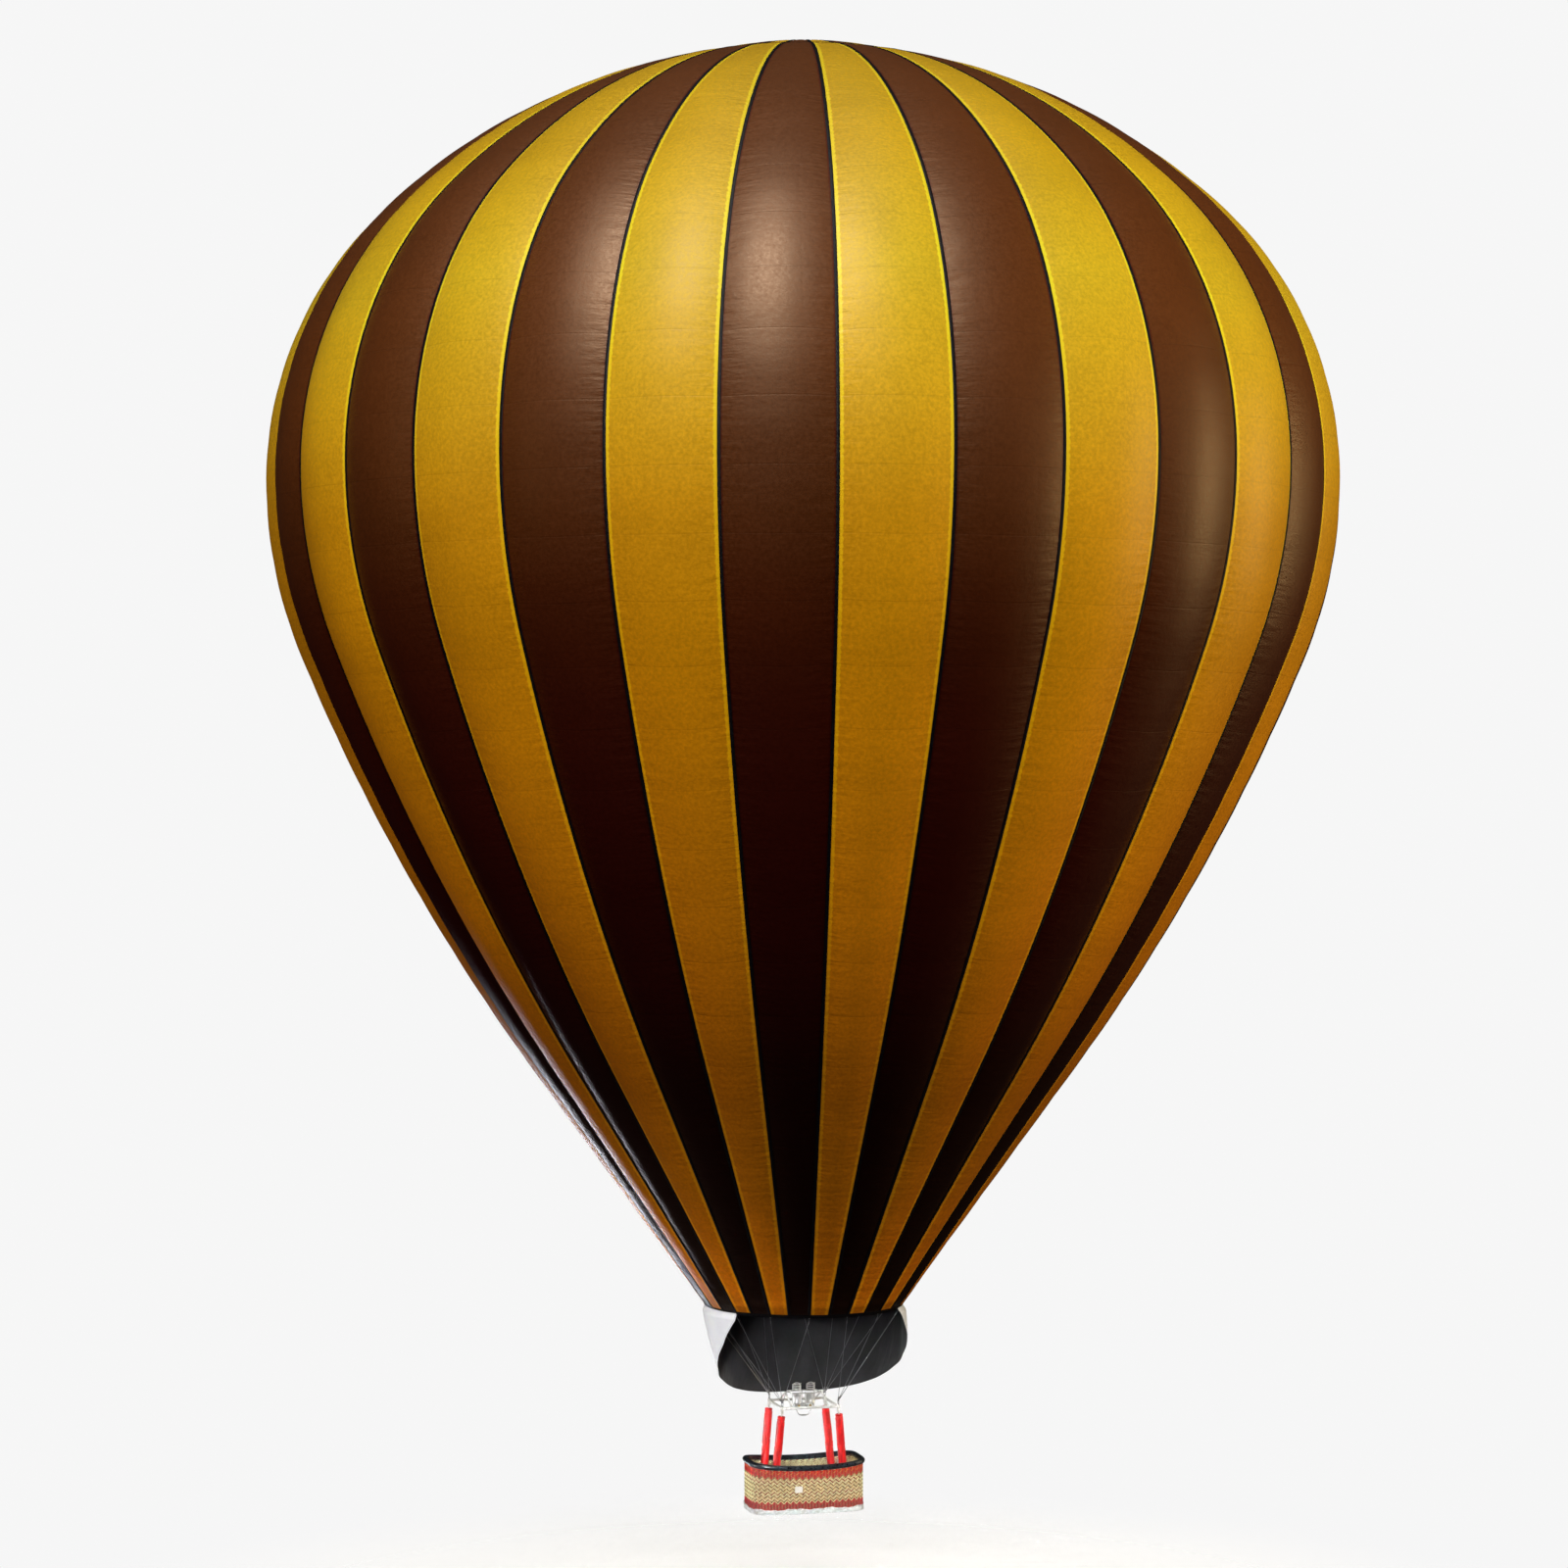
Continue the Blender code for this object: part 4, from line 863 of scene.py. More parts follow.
def make_burner_frame(look):
    """Rectangle of white tubes with corner sockets, V brackets, a front lug and fastenings."""
    half_x, half_y = FRAME_HALF
    cap = [(0.029, -0.030), (0.032, -0.026), (0.032, 0.012), (0.036, 0.016), (0.036, 0.026),
           (0.031, 0.030), (0.024, 0.034), (0.012, 0.035)]
    socket = [(0.026, -0.012), (0.031, -0.006), (0.031, 0.066), (0.034, 0.070), (0.034, 0.096),
              (0.032, 0.100), (0.020, 0.100)]
    form = Form()
    corners = [(-half_x, -half_y, FRAME_Z), (half_x, -half_y, FRAME_Z),
               (half_x, half_y, FRAME_Z), (-half_x, half_y, FRAME_Z)]
    tube(form, rounded(corners, 0.05, 7, True), FRAME_TUBE, 20, closed=True)
    for _, side_x, side_y in CORNERS:
        corner, down, _ = upright_line(side_x, side_y)
        turned(form, cap, corner, (0, 0, 1), 24)
        turned(form, socket, corner, down, 24)
        out = unit((side_x, side_y, 0))
        bolt(form, corner + down * 0.083 + out * 0.031, out, 0.006)
        bolt(form, corner + out * 0.030, out, 0.007)
    for side in (-1, 1):
        x = side * BRACKET_X
        legs = [(x, -half_y, FRAME_Z), (x, 0.0, PIVOT_Z), (x, half_y, FRAME_Z)]
        tube(form, rounded(legs, 0.035, 7), 0.0155, 16, up=(1, 0, 0))
        inwards = np.array((-side, 0, 0))
        collar(form, (x, 0, PIVOT_Z - 0.006), inwards, 0.013, 0.021, 0.022, 0.003)
        pin = BRACKET_X - (RING_HALF[0] + RING_TUBE + GAP)
        turned(form, [(0.008, 0.0), (0.008, pin)], (x, 0, PIVOT_Z), inwards, 16)
        bolt(form, (x + side * 0.021, 0, PIVOT_Z - 0.006), -inwards, 0.008)
        for end in (-1, 1):
            collar(form, (x, end * half_y, FRAME_Z), (1, 0, 0), 0.0262, 0.0285, 0.024, 0.004)
    for end in (-1, 1):
        for x in (-0.18, 0.18):
            collar(form, (x, end * half_y, FRAME_Z), (1, 0, 0), 0.0258, 0.0275, 0.012, 0.002)
    lug = [(-0.055, -half_y, FRAME_Z + 0.01), (0, -half_y, FRAME_Z + 0.108),
           (0.055, -half_y, FRAME_Z + 0.01)]
    tube(form, rounded(lug, 0.018, 6), 0.0095, 14, up=(0, 1, 0))
    form.make("white_burner_frame", "root",
              [painted_tube("White paint", look.frame_paint)], ["burner_frame"], 38)


def make_wires(look):
    """Four wires a corner, from a shackle on the socket up to the hem.

    Each wire is a thin tube from the shackle to its tail below the hem, with a crimped
    sleeve at both ends and a small eye at the hem.
    """
    finish = brushed_metal("Wire steel", look.wire, 0.30, (30, 30, 30), 20.0, 0.85)
    shackle = [(1, 0.004, 0.012), (1, 0.019, 0.020), (1, 0.019, 0.088),
               (-1, 0.019, 0.088), (-1, 0.019, 0.020), (-1, 0.004, 0.012)]
    seat_cup = [(0.012, 0.0), (0.014, 0.003), (0.014, 0.012), (0.008, 0.018)]
    sleeve = [(0.006, 0.0), (0.0095, 0.006), (0.0095, 0.066), (0.0065, 0.074)]
    eye = [(0.006, 0.0), (0.012, 0.003), (0.012, 0.012), (0.006, 0.015)]
    for name, side_x, side_y in CORNERS:
        seat = frame_corner(side_x, side_y) + (0, 0, 0.035 + GAP)
        along = np.array((-side_y, side_x, 0)) / math.sqrt(2)
        form = Form()
        bow = [seat + along * side * reach + (0, 0, height) for side, reach, height in shackle]
        tube(form, rounded(bow, 0.012, 6), 0.0055, 12, up=np.cross(along, (0, 0, 1)))
        turned(form, seat_cup, seat, (0, 0, 1), 18)
        collar(form, seat + (0, 0, 0.074), along, 0.008, 0.009, 0.028, 0.002, 14)
        quarter = round((math.atan2(side_x, -side_y) - math.pi / 4) / (math.pi / 2)) * (GORES // 4)
        azimuth = (quarter + np.arange(1, GORES // 4, 2)) * GORE_ANGLE
        radius = MOUTH_RADIUS - FABRIC / 2
        tip = np.stack([radius * np.sin(azimuth), -radius * np.cos(azimuth),
                        np.full(4, MOUTH_Z - 0.014)], axis=-1)
        tail = tip - (0, 0, 0.05)
        root = seat + (0, 0, 0.08) + along * (np.arange(4)[:, None] - 1.5) * 0.008
        line = root[:, None] + (tail - root)[:, None] * np.linspace(0, 1, 5)[:, None]
        tube(form, np.concatenate([line, tip[:, None]], axis=1), look.wire_radius, 8)
        for start, end, top in zip(root, tail, tip):
            pull = unit(end - start)
            turned(form, sleeve, start + pull * 0.03, pull, 12)
            turned(form, sleeve, end - pull * 0.09, pull, 12)
            turned(form, eye, top - (0, 0, 0.006), (0, 0, 1), 12)
        form.make(f"wire_group_{name}", "root", [finish], [f"flying_wires_{name}"])


def padded_cloth(name, colour, crease_shade):
    """Glossy nylon over foam: lengthwise creases, a fine weave, and painted shade that darkens the
    hollows of the creases.
    """
    f = Finish(name, sheen_weight=0.3, sheen_roughness=0.3, specular_ior_level=0.55,
               coat_weight=0.15, coat_roughness=0.3)
    crease = f.noise(f.place(scale=(1.0, 1.0, 0.12)), 34.0, 4.0, 0.6)
    # Painted shade: the darker red where the creases sink in.
    tint = f.mix(f.span(crease, 0.35, 0.62), crease_shade, colour)
    tint = f.shade(tint, f.marks(f.noise(f.place(), 7.0, 3.0), 0.86, 1.12))
    weave = f.noise(f.place(), 700.0, 1.0)
    f.bump(f.math("MULTIPLY_ADD", crease, 0.010, f.product(weave, 0.0004)), 0.8)
    return f.finish(tint, f.marks(crease, 0.42, 0.28))


def cover_shape(length, look):
    """Cover along -Z: a tube drawn in where ties hold it, with fixed lengthwise ripples.

    The radius is a barrel between two ties, a sine to the power 0.35, plus two sine waves
    round the cover whose phase drifts down its length.
    """
    down = np.linspace(0, 1, 150)[:, None]
    turn = np.arange(56) * 2 * math.pi / 56
    barrel = np.abs(np.sin(math.pi * down * look.cover_ties)) ** 0.35
    radius = look.cover_radius * (COVER_WAIST + (1 - COVER_WAIST) * barrel)
    ripple = (0.0022 * np.sin(7 * turn + 3 * np.sin(5 * down))
              + 0.0016 * np.sin(11 * turn - 9 * down))
    radius = radius + ripple * barrel
    outer = np.stack([radius * np.cos(turn), radius * np.sin(turn), -length * down + 0 * turn],
                     axis=-1)
    lips = [circle(COVER_BORE, height, 56) for height in (0.012 - length, -0.012)]
    drawn_in = (0.75, 0.75, 1)
    return np.concatenate([outer[:1] * drawn_in + (0, 0, 0.004), outer,
                           outer[-1:] * drawn_in - (0, 0, 0.004), np.stack(lips)])


def puffed(points, look):
    """Cover swollen by a short cloth simulation; its ties and ends stay put.

    Pressure fills the closed cloth, a little larger than its form, so it wrinkles between
    the ties. No point may move further than the cap.
    """
    form = Form()
    form.grid(points, along=True)
    body = bpy.data.objects.new("cover_start", form.mesh("cover_start"))
    scene = bpy.context.scene
    scene.collection.objects.link(body)
    remesh = body.modifiers.new("Even", "REMESH")
    remesh.mode = "VOXEL"
    remesh.voxel_size = look.cover_voxel
    evened = body.evaluated_get(bpy.context.evaluated_depsgraph_get())
    even = bpy.data.meshes.new_from_object(evened)
    body.modifiers.clear()
    body.data = even
    rest = vertex_places(even)
    tie = np.abs(np.sin(math.pi * rest[:, 2] / points[..., 2].min() * look.cover_ties)) < 0.09
    by_bore = np.hypot(rest[:, 0], rest[:, 1]) < COVER_HELD
    pinned = body.vertex_groups.new(name="Held")
    pinned.add(np.flatnonzero(tie | by_bore).tolist(), 1.0, "REPLACE")
    settings = body.modifiers.new("Cloth", "CLOTH").settings
    settings.quality = 5
    settings.mass = 0.25
    settings.use_pressure = True
    settings.uniform_pressure_force = 4.0
    settings.vertex_group_mass = "Held"
    settings.shrink_min = -0.03
    settings.effector_weights.gravity = 0.0
    settings.bending_stiffness = 0.4
    for step in range(1, 21):
        scene.frame_set(step)
    swollen = body.evaluated_get(bpy.context.evaluated_depsgraph_get())
    shift = vertex_places(swollen.to_mesh()) - rest
    distance = np.maximum(np.linalg.norm(shift, axis=1, keepdims=True), 1e-9)
    final = rest + shift * np.minimum(1.0, look.cover_cap / distance)
    body.modifiers.clear()
    scene.frame_set(1)
    faces = np.array([polygon.vertices[:] for polygon in even.polygons])
    bpy.data.objects.remove(body)
    return final, faces


def vertex_places(mesh):
    """Places of a mesh's vertices."""
    flat = np.empty(len(mesh.vertices) * 3)
    mesh.vertices.foreach_get("co", flat)
    return flat.reshape(-1, 3)


def make_uprights(look):
    """Four padded red covers, one simulated form set on each upright, with their ties."""
    # The darker red is painted shade for the hollows of the creases.
    cloth = padded_cloth("Red nylon", look.cover, [c * 0.6 for c in look.cover])
    tie_finish = webbing("Cover ties", (0.45, 0.006, 0.010))
    _, down, _ = upright_line(1, 1)
    length = (FRAME_Z - RIM_TOP + 0.30) / abs(down[2]) - COVER_START - 0.008
    shape = cover_shape(length, look)
    points, faces = puffed(shape, look)
    for turn, (name, side_x, side_y) in enumerate(CORNERS):
        corner, down, _ = upright_line(side_x, side_y)
        side = unit(np.cross(down, (0, 1, 0)))
        other = np.cross(side, down)
        angle = turn * 1.9 + 0.4
        first = math.cos(angle) * side + math.sin(angle) * other
        basis = np.stack([first, np.cross(first, down), -down])
        origin = corner + down * (COVER_START + 0.004)
        mesh = bpy.data.meshes.new(f"red_cover_{name}")
        mesh.from_pydata((points @ basis + origin).tolist(), [], faces.tolist())
        cover = dress(mesh, "root", [cloth], [f"upright_cover_{name}"], 60)
        radius = look.cover_radius * COVER_WAIST + 0.0015
        band = [(radius - 0.004, -0.011), (radius + 0.001, -0.009), (radius + 0.002, 0.0),
                (radius + 0.001, 0.009), (radius - 0.004, 0.011)]
        form = Form()
        for tie in np.arange(look.cover_ties + 1) / look.cover_ties:
            place = origin + down * (min(max(tie, 0.012), 0.988) * length)
            turned(form, band, place, down, 40)
        form.make(f"cover_ties_{name}", "root", [tie_finish])


# Burner.

def make_gimbal(look):
    """Gimbal ring of bent tube with pivot bosses on its four sides."""
    x, y = RING_HALF
    corners = [(-x, -y, PIVOT_Z), (x, -y, PIVOT_Z), (x, y, PIVOT_Z), (-x, y, PIVOT_Z)]
    boss = [(0.010, 0.0), (0.015, 0.002), (0.015, 0.018), (0.011, 0.020)]
    form = Form()
    tube(form, rounded(corners, 0.05, 8, True), 0.0115, 18, closed=True)
    for side in (-1, 1):
        turned(form, boss, (side * (x - 0.006), 0, PIVOT_Z), (-side, 0, 0), 20)
        collar(form, (0, side * y, PIVOT_Z), (1, 0, 0), 0.011, 0.014, 0.012, 0.002, 20)
    form.make("bent_gimbal_ring", "gimbal", [brushed_metal("Gimbal steel", look.steel)],
              ["gimbal_ring"])


def make_burner(look):
    """Twin burner: valve block with hangers and handle, two cans and two coils."""
    steel = brushed_metal("Burner steel", look.steel, 0.24)
    brass = brushed_metal("Brass", (0.72, 0.46, 0.14), 0.25)
    dark = brushed_metal("Heated steel", [c * 0.92 for c in look.steel], 0.30, (3, 3, 40), 20.0)
    make_valve_block(steel, brass, dark)
    outside = [(0.020, CAN_LOW), (0.080, CAN_LOW), (CAN_RADIUS, CAN_LOW + 0.004),
               (CAN_RADIUS, CAN_LOW + 0.022), (0.0832, CAN_LOW + 0.026),
               (0.0832, CAN_HIGH - 0.030), (CAN_RADIUS, CAN_HIGH - 0.026),
               (CAN_RADIUS, CAN_HIGH - 0.003), (0.0842, CAN_HIGH)]
    inside = [(0.0820, CAN_HIGH), (0.0812, CAN_HIGH - 0.003), (0.0812, CAN_LOW + 0.008),
              (0.020, CAN_LOW + 0.006)]
    rivet = [(0.0075, -0.0012), (0.0075, 0.0008), (0.0045, 0.0012), (0.0045, 0.0)]
    for name, side in (("left", -1), ("right", 1)):
        centre = np.array((side * BURNER_X, 0.0, PIVOT_Z))
        form = Form()
        turned(form, (outside + inside)[::-1], centre, (0, 0, 1), 48)
        for turn in np.arange(12) * math.pi / 6:
            out = np.array((math.cos(turn), math.sin(turn), 0))
            turned(form, rivet, centre + out * 0.0838 + (0, 0, CAN_LOW + 0.055), out, 12)
        form.make(f"flame_can_{name}", "burner", [dark], [f"burner_can_{name}"])
        make_coil(name, centre, CAN_LOW + 0.004 + GAP, dark, brass)


def make_valve_block(steel, brass, dark):
    """Block under the cans: hangers up to the gimbal ring, valve knobs, ports and handle."""
    top = PIVOT_Z - BLOCK_DROP
    bottom = top - BLOCK_HEIGHT
    middle = top - BLOCK_HEIGHT / 2
    half_x, half_y = BLOCK_HALF
    pin_foot = HANGER_Y - 0.011
    pin_length = RING_HALF[1] - RING_TUBE - GAP - pin_foot
    pin = [(0.008, 0.0), (0.015, 0.004), (0.015, 0.020), (0.008, 0.022), (0.008, pin_length)]
    knob = [(0.010, 0.0), (0.010, 0.022), (0.019, 0.024), (0.022, 0.028), (0.022, 0.044),
            (0.018, 0.048), (0.006, 0.049)]
    port = [(0.012, 0.0), (0.014, 0.004), (0.014, 0.030), (0.010, 0.034), (0.008, 0.05),
            (0.004, 0.05)]
    foot = [(0.010, 0.0), (0.017, 0.002), (0.017, 0.012), (0.010, 0.014)]
    form = Form()
    block(form, (-half_x, -half_y, bottom), (half_x, half_y, top), 0.006, 0.016, 5)
    for side in (-1, 1):
        hanger = [(0, side * 0.042, middle), (0, side * HANGER_Y, middle),
                  (0, side * HANGER_Y, PIVOT_Z + 0.004)]
        tube(form, rounded(hanger, 0.03, 8), 0.0098, 14, up=(1, 0, 0))
        turned(form, pin, (0, side * pin_foot, PIVOT_Z), (0, side, 0), 20)
        for x in (-0.17, 0.17, -0.06, 0.06):
            bolt(form, (x, side * (half_y - GAP), middle + 0.018), (0, side, 0), 0.0055)
        valve_x, valve_z = side * VALVE_X, middle - 0.006
        turned(form, knob, (valve_x, 0.001 - half_y, valve_z), (0, -1, 0), 18, slot=1)
        turned(form, port, (valve_x, half_y - 0.002, valve_z), (0, 1, 0), 18, slot=1)
    grip = bottom - HANDLE_DROP
    bend = bottom - 0.4 * HANDLE_DROP
    handle = [(-HANDLE_HALF, 0, bottom + 0.01), (-HANDLE_HALF, 0, bend),
              (-0.6 * HANDLE_HALF, 0, grip), (0.6 * HANDLE_HALF, 0, grip),
              (HANDLE_HALF, 0, bend), (HANDLE_HALF, 0, bottom + 0.01)]
    tube(form, rounded(handle, 0.04, 8), 0.0098, 16, up=(0, 1, 0))
    collar(form, (0, 0, grip), (1, 0, 0), 0.010, 0.0135, 0.06, 0.004, 18, slot=2)
    for side in (-1, 1):
        turned(form, foot, (side * HANDLE_HALF, 0, bottom), (0, 0, -1), 18)
    form.make("valve_block", "burner", [steel, brass, dark], ["burner_block"])


def make_coil(name, centre, foot, dark, brass):
    """Vaporiser coil: a helix of four turns on two legs, closed by an arch over the top.

    Along the helix the angle and the height grow together; its lower end runs down into the
    can, and the arch on its own two legs crosses over it. A jet ring hangs in the can.
    """
    angle = np.linspace(0, 2 * math.pi * COIL_TURNS, 16 * COIL_TURNS + 1)
    rise = (COIL_TOP - 0.012) * angle / angle[-1]
    helix = np.stack([COIL_RADIUS * np.cos(angle), COIL_RADIUS * np.sin(angle), rise], axis=-1)
    start = np.array([(COIL_RADIUS - 0.018, 0, foot), (COIL_RADIUS - 0.018, 0, -0.03),
                      (COIL_RADIUS - 0.012, -0.004, -0.012)])
    form = Form()
    tube(form, centre + np.concatenate([start, helix[1:]]), 0.0088, 10, up=(0.02, 0.01, 1))
    span, height = COIL_RADIUS - 0.004, 0.052
    turn = np.linspace(0, math.pi, 15)
    arch = np.stack([span * np.cos(turn), 0 * turn, COIL_TOP - height + height * np.sin(turn)],
                    axis=-1)
    leg = np.array([(span, 0, 0.004), (span, 0, 0.07)])
    other_leg = leg[::-1] * (-1, 1, 1)
    tube(form, centre + np.concatenate([leg, arch, other_leg]), 0.011, 12, up=(0, 1, 0))
    tube(form, centre + circle(0.042, -0.10, 40), 0.007, 10, closed=True)
    turned(form, [(0.012, 0.0), (0.012, 0.05), (0.016, 0.054), (0.016, 0.066), (0.009, 0.075),
                  (0.009, 0.09)], centre + (0, 0, foot), (0, 0, 1), 18, slot=1)
    for side in (-1, 1):
        spoke = np.array([(side * 0.042, 0, -0.10), (side * 0.006, 0, -0.13)])
        tube(form, centre + spoke, 0.006, 10, up=(0, 1, 0))
    form.make(f"vaporiser_coil_{name}", "burner", [dark, brass], [f"burner_coil_{name}"])


# Basket.

def plan_table():
    """Points round the basket's plan, a superellipse, and their distance along it."""
    angle = np.linspace(0, 2 * math.pi, 8193)
    power = 2 / BASKET_ROUNDING
    cos, sin = np.cos(angle), np.sin(angle)
    x = BASKET_LENGTH / 2 * np.sign(cos) * np.abs(cos) ** power
    y = BASKET_WIDTH / 2 * np.sign(sin) * np.abs(sin) ** power
    along = np.concatenate(([0], np.cumsum(np.hypot(np.diff(x), np.diff(y)))))
    return x, y, along


PLAN_X, PLAN_Y, PLAN_ALONG = plan_table()
GIRTH = PLAN_ALONG[-1]


def plan(along, offset=0.0):
    """Point of the plan a distance along it, moved square to the plan by offset."""
    def point(place):
        return np.stack([np.interp(place % GIRTH, PLAN_ALONG, table)
                         for table in (PLAN_X, PLAN_Y)], axis=-1)

    along = np.asarray(along, float) % GIRTH
    step = 0.004
    run = unit(point(along + step) - point(along - step))
    here = point(along)
    return here[..., 0] + offset * run[..., 1], here[..., 1] - offset * run[..., 0]


def rim_dip(x):
    """How far the rim hangs below its ends: a parabola along the basket's length."""
    return RIM_DIP * (1 - np.minimum(np.abs(x) / (BASKET_LENGTH / 2), 1.0) ** 2)


CANES = {"cream": (0.94, 0.94, 0.56), "straw": (0.88, 0.80, 0.40), "tan": (0.48, 0.34, 0.15),
         "maroon": (0.22, 0.045, 0.026), "olive": (0.15, 0.18, 0.06),
         "red": (0.66, 0.014, 0.012), "crimson": (0.45, 0.010, 0.024), "orange": (0.80, 0.22, 0.03)}
CANE_NAMES = list(CANES)
ZIGZAG = ("cream", "cream", "straw", "tan", "olive", "cream", "cream", "cream", "maroon", "tan",
          "cream", "cream", "straw", "olive", "tan")
POINTS_A_WAVE = 8
STAKE_RADIUS = 0.0055


def cane_tone(names):
    """Places of the named canes on the wicker's colour ramp."""
    return np.array([(CANE_NAMES.index(name) + 0.5) / len(CANES) for name in names])


def wicker(name):
    """Split cane: each strand's own colour with fibres, glossy skin and darker hollows.

    The bands are dyed on the outside only: inside the middle of the wall, where the plan's
    superellipse is less than one, they are plain cream.
    """
    f = Finish(name, specular_ior_level=0.5, coat_weight=0.1, coat_roughness=0.3)
    stops = [(index / len(CANES), colour) for index, colour in enumerate(CANES.values())]
    tinted = f.ramp(f.tone(), stops, "CONSTANT")
    reach = [f.math("POWER", f.math("DIVIDE", f.math("ABSOLUTE", part), size / 2 - WALL / 2),
                    BASKET_ROUNDING)
             for part, size in zip(f.axes(f.place()), (BASKET_LENGTH, BASKET_WIDTH))]
    banded = f.math("GREATER_THAN", f.tone(), CANE_NAMES.index("red") / len(CANES))
    inside = f.product(f.math("LESS_THAN", f.math("ADD", *reach), 1.0), banded)
    tinted = f.mix(inside, tinted, CANES["cream"])
    fibre = f.noise(f.place("UV", (12.0, 260.0, 1.0)), 1.0, 3.0)
    tint = f.shade(tinted, f.marks(fibre, 0.78, 1.15))
    tint = f.shade(tint, f.marks(f.noise(f.place(), 14.0, 3.0), 0.80, 1.18))
    f.bump(f.product(fibre, 0.0015), 0.6)
    return f.finish(tint, f.marks(fibre, 0.36, 0.55))


def make_wicker(look):
    """Basket wall woven from strands of cane round upright stakes.

    A strand follows the plan; its depth in the wall is a cosine that puts neighbours on
    opposite sides of the stakes, and its height is a base row plus a sine wave, which gives
    the zigzag rows. Its section is an oval in the plane of depth and height.
    """
    waves = int(round(GIRTH / look.wave_length))
    count = waves * POINTS_A_WAVE
    along = np.arange(count) * GIRTH / count
    phase = np.arange(count) * 2 * math.pi / POINTS_A_WAVE
    strands = int(round((WALL_TOP - look.weave_bottom) / look.strand_pitch))
    level = (np.arange(strands) + 0.5) / strands
    side = np.where(np.arange(strands) % 2, 1.0, -1.0)[:, None]
    x, _ = plan(along)
    top = WALL_TOP - 0.006 - rim_dip(x)
    height = look.weave_bottom + (top - look.weave_bottom) * level[:, None]
    calm = np.minimum(1.0, np.minimum(level, 1 - level) * 14)[:, None]
    height = height + look.wave_height / 2 * np.sin(phase) * calm
    depth = -WALL / 2 + side * look.weave_depth * np.cos(phase)
    turn = np.arange(5) * 2 * math.pi / 5
    reach = depth[..., None] + look.strand_depth * np.cos(turn)
    px, py = plan(np.broadcast_to(along[None, :, None], reach.shape), reach)
    pz = height[..., None] + look.strand_height * np.sin(turn)
    points = np.stack([px, py, pz], axis=-1)
    lengths = np.append(along, GIRTH)[:, None]
    uv = np.stack(np.broadcast_arrays(lengths, np.arange(6) * 0.008), axis=-1)
    uv = uv + np.arange(strands)[:, None, None, None] * (1.7, 0.05)
    names = np.array(ZIGZAG, dtype="U8")[np.arange(strands) % len(ZIGZAG)]
    red_from, crimson_to = strands - look.red_strands, look.crimson_strands
    bands = {"body": slice(crimson_to, red_from), "red_band": slice(red_from, strands),
             "crimson_band": slice(0, crimson_to)}
    names[bands["red_band"]] = "red"
    names[bands["crimson_band"]] = "crimson"
    # The orange strand near the top of the red band is a painted highlight on the band's waves.
    for strand, colour in ((-4, "orange"), (-8, "crimson"), (5, "maroon"), (9, "red")):
        names[strand] = colour
    finish = wicker("Woven cane")
    tone = cane_tone(names)[:, None, None]
    for band, part in bands.items():
        form = Form()
        form.grid(points[part], along=True, uv=uv[part], tone=tone[part])
        form.make(f"wicker_{band}", "root", [finish],
                  ["basket_wall"] if band == "body" else (), 70)
    make_stakes(2 * waves, finish)


def make_stakes(count, finish):
    """Upright stakes inside the weave, and a thin dark sheet in the middle of the wall that closes
    its gaps: painted shade where one would see into the wall.
    """
    form = Form()
    px, py = plan(np.arange(count) * GIRTH / count, -WALL / 2)
    top = (WALL_TOP - 0.01 - rim_dip(px))[:, None, None]
    turn = np.arange(6) * 2 * math.pi / 6
    pz = top + (FLOOR_TOP + 0.002 - top) * np.linspace(0, 1, 3)[:, None]
    stake = np.broadcast_arrays(px[:, None, None] + STAKE_RADIUS * np.cos(turn),
                                py[:, None, None] + STAKE_RADIUS * np.sin(turn), pz)
    form.grid(np.stack(stake, axis=-1), ends="disc", tone=cane_tone(["tan"])[0])
    # Thin dark maroon sheet in the wall's gaps: painted shade of the hollow inside the weave.
    shade_core = np.broadcast_to(np.arange(240) * GIRTH / 240, (4, 240))
    cx, cy = plan(shade_core, -WALL / 2 + np.array((0.0025, 0.0025, -0.0025, -0.0025))[:, None])
    level = np.array((1, 0, 0, 1))[:, None]
    low = FLOOR_TOP + 0.003
    cz = low + level * (WALL_TOP - 0.012 - rim_dip(cx) - low)
    form.grid(np.stack([cx, cy, cz], axis=-1), along=True, tone=cane_tone(["maroon"])[0])
    form.make("wicker_stakes", "root", [finish], (), 50)


def leather(name, colour, light, wrinkle=26.0, roughness=0.28):
    """Leather: pebbled grain, stretch wrinkles, rubbed high spots and thread near the seams.

    Tone is the distance from the nearest seam in metres.
    """
    f = Finish(name, specular_ior_level=0.6, coat_weight=0.5, coat_roughness=0.15)
    crease = f.noise(f.place(), wrinkle, 4.0, 0.6)
    pebble = f.add("TexVoronoi", {"Vector": f.place(), "Scale": 420.0})
    rub = f.span(f.noise(f.place(), 9.0, 4.0), 0.48, 0.70)
    tint = f.mix(rub, colour, light)
    from_row = f.math("ABSOLUTE", f.math("SUBTRACT", f.tone(), 0.012))
    thread = f.product(f.span(from_row, 0.0022, 0.0012),
                       f.math("GREATER_THAN", f.noise(f.place(), 240.0, 0.0), 0.47))
    tint = f.mix(f.product(thread, 0.6), tint, [min(1.0, c * 6 + 0.08) for c in light])
    f.bump(f.math("MULTIPLY_ADD", crease, 0.006, f.product(pebble, 0.0006)), 0.6)
    return f.finish(tint, f.marks(crease, roughness - 0.05, roughness + 0.12))


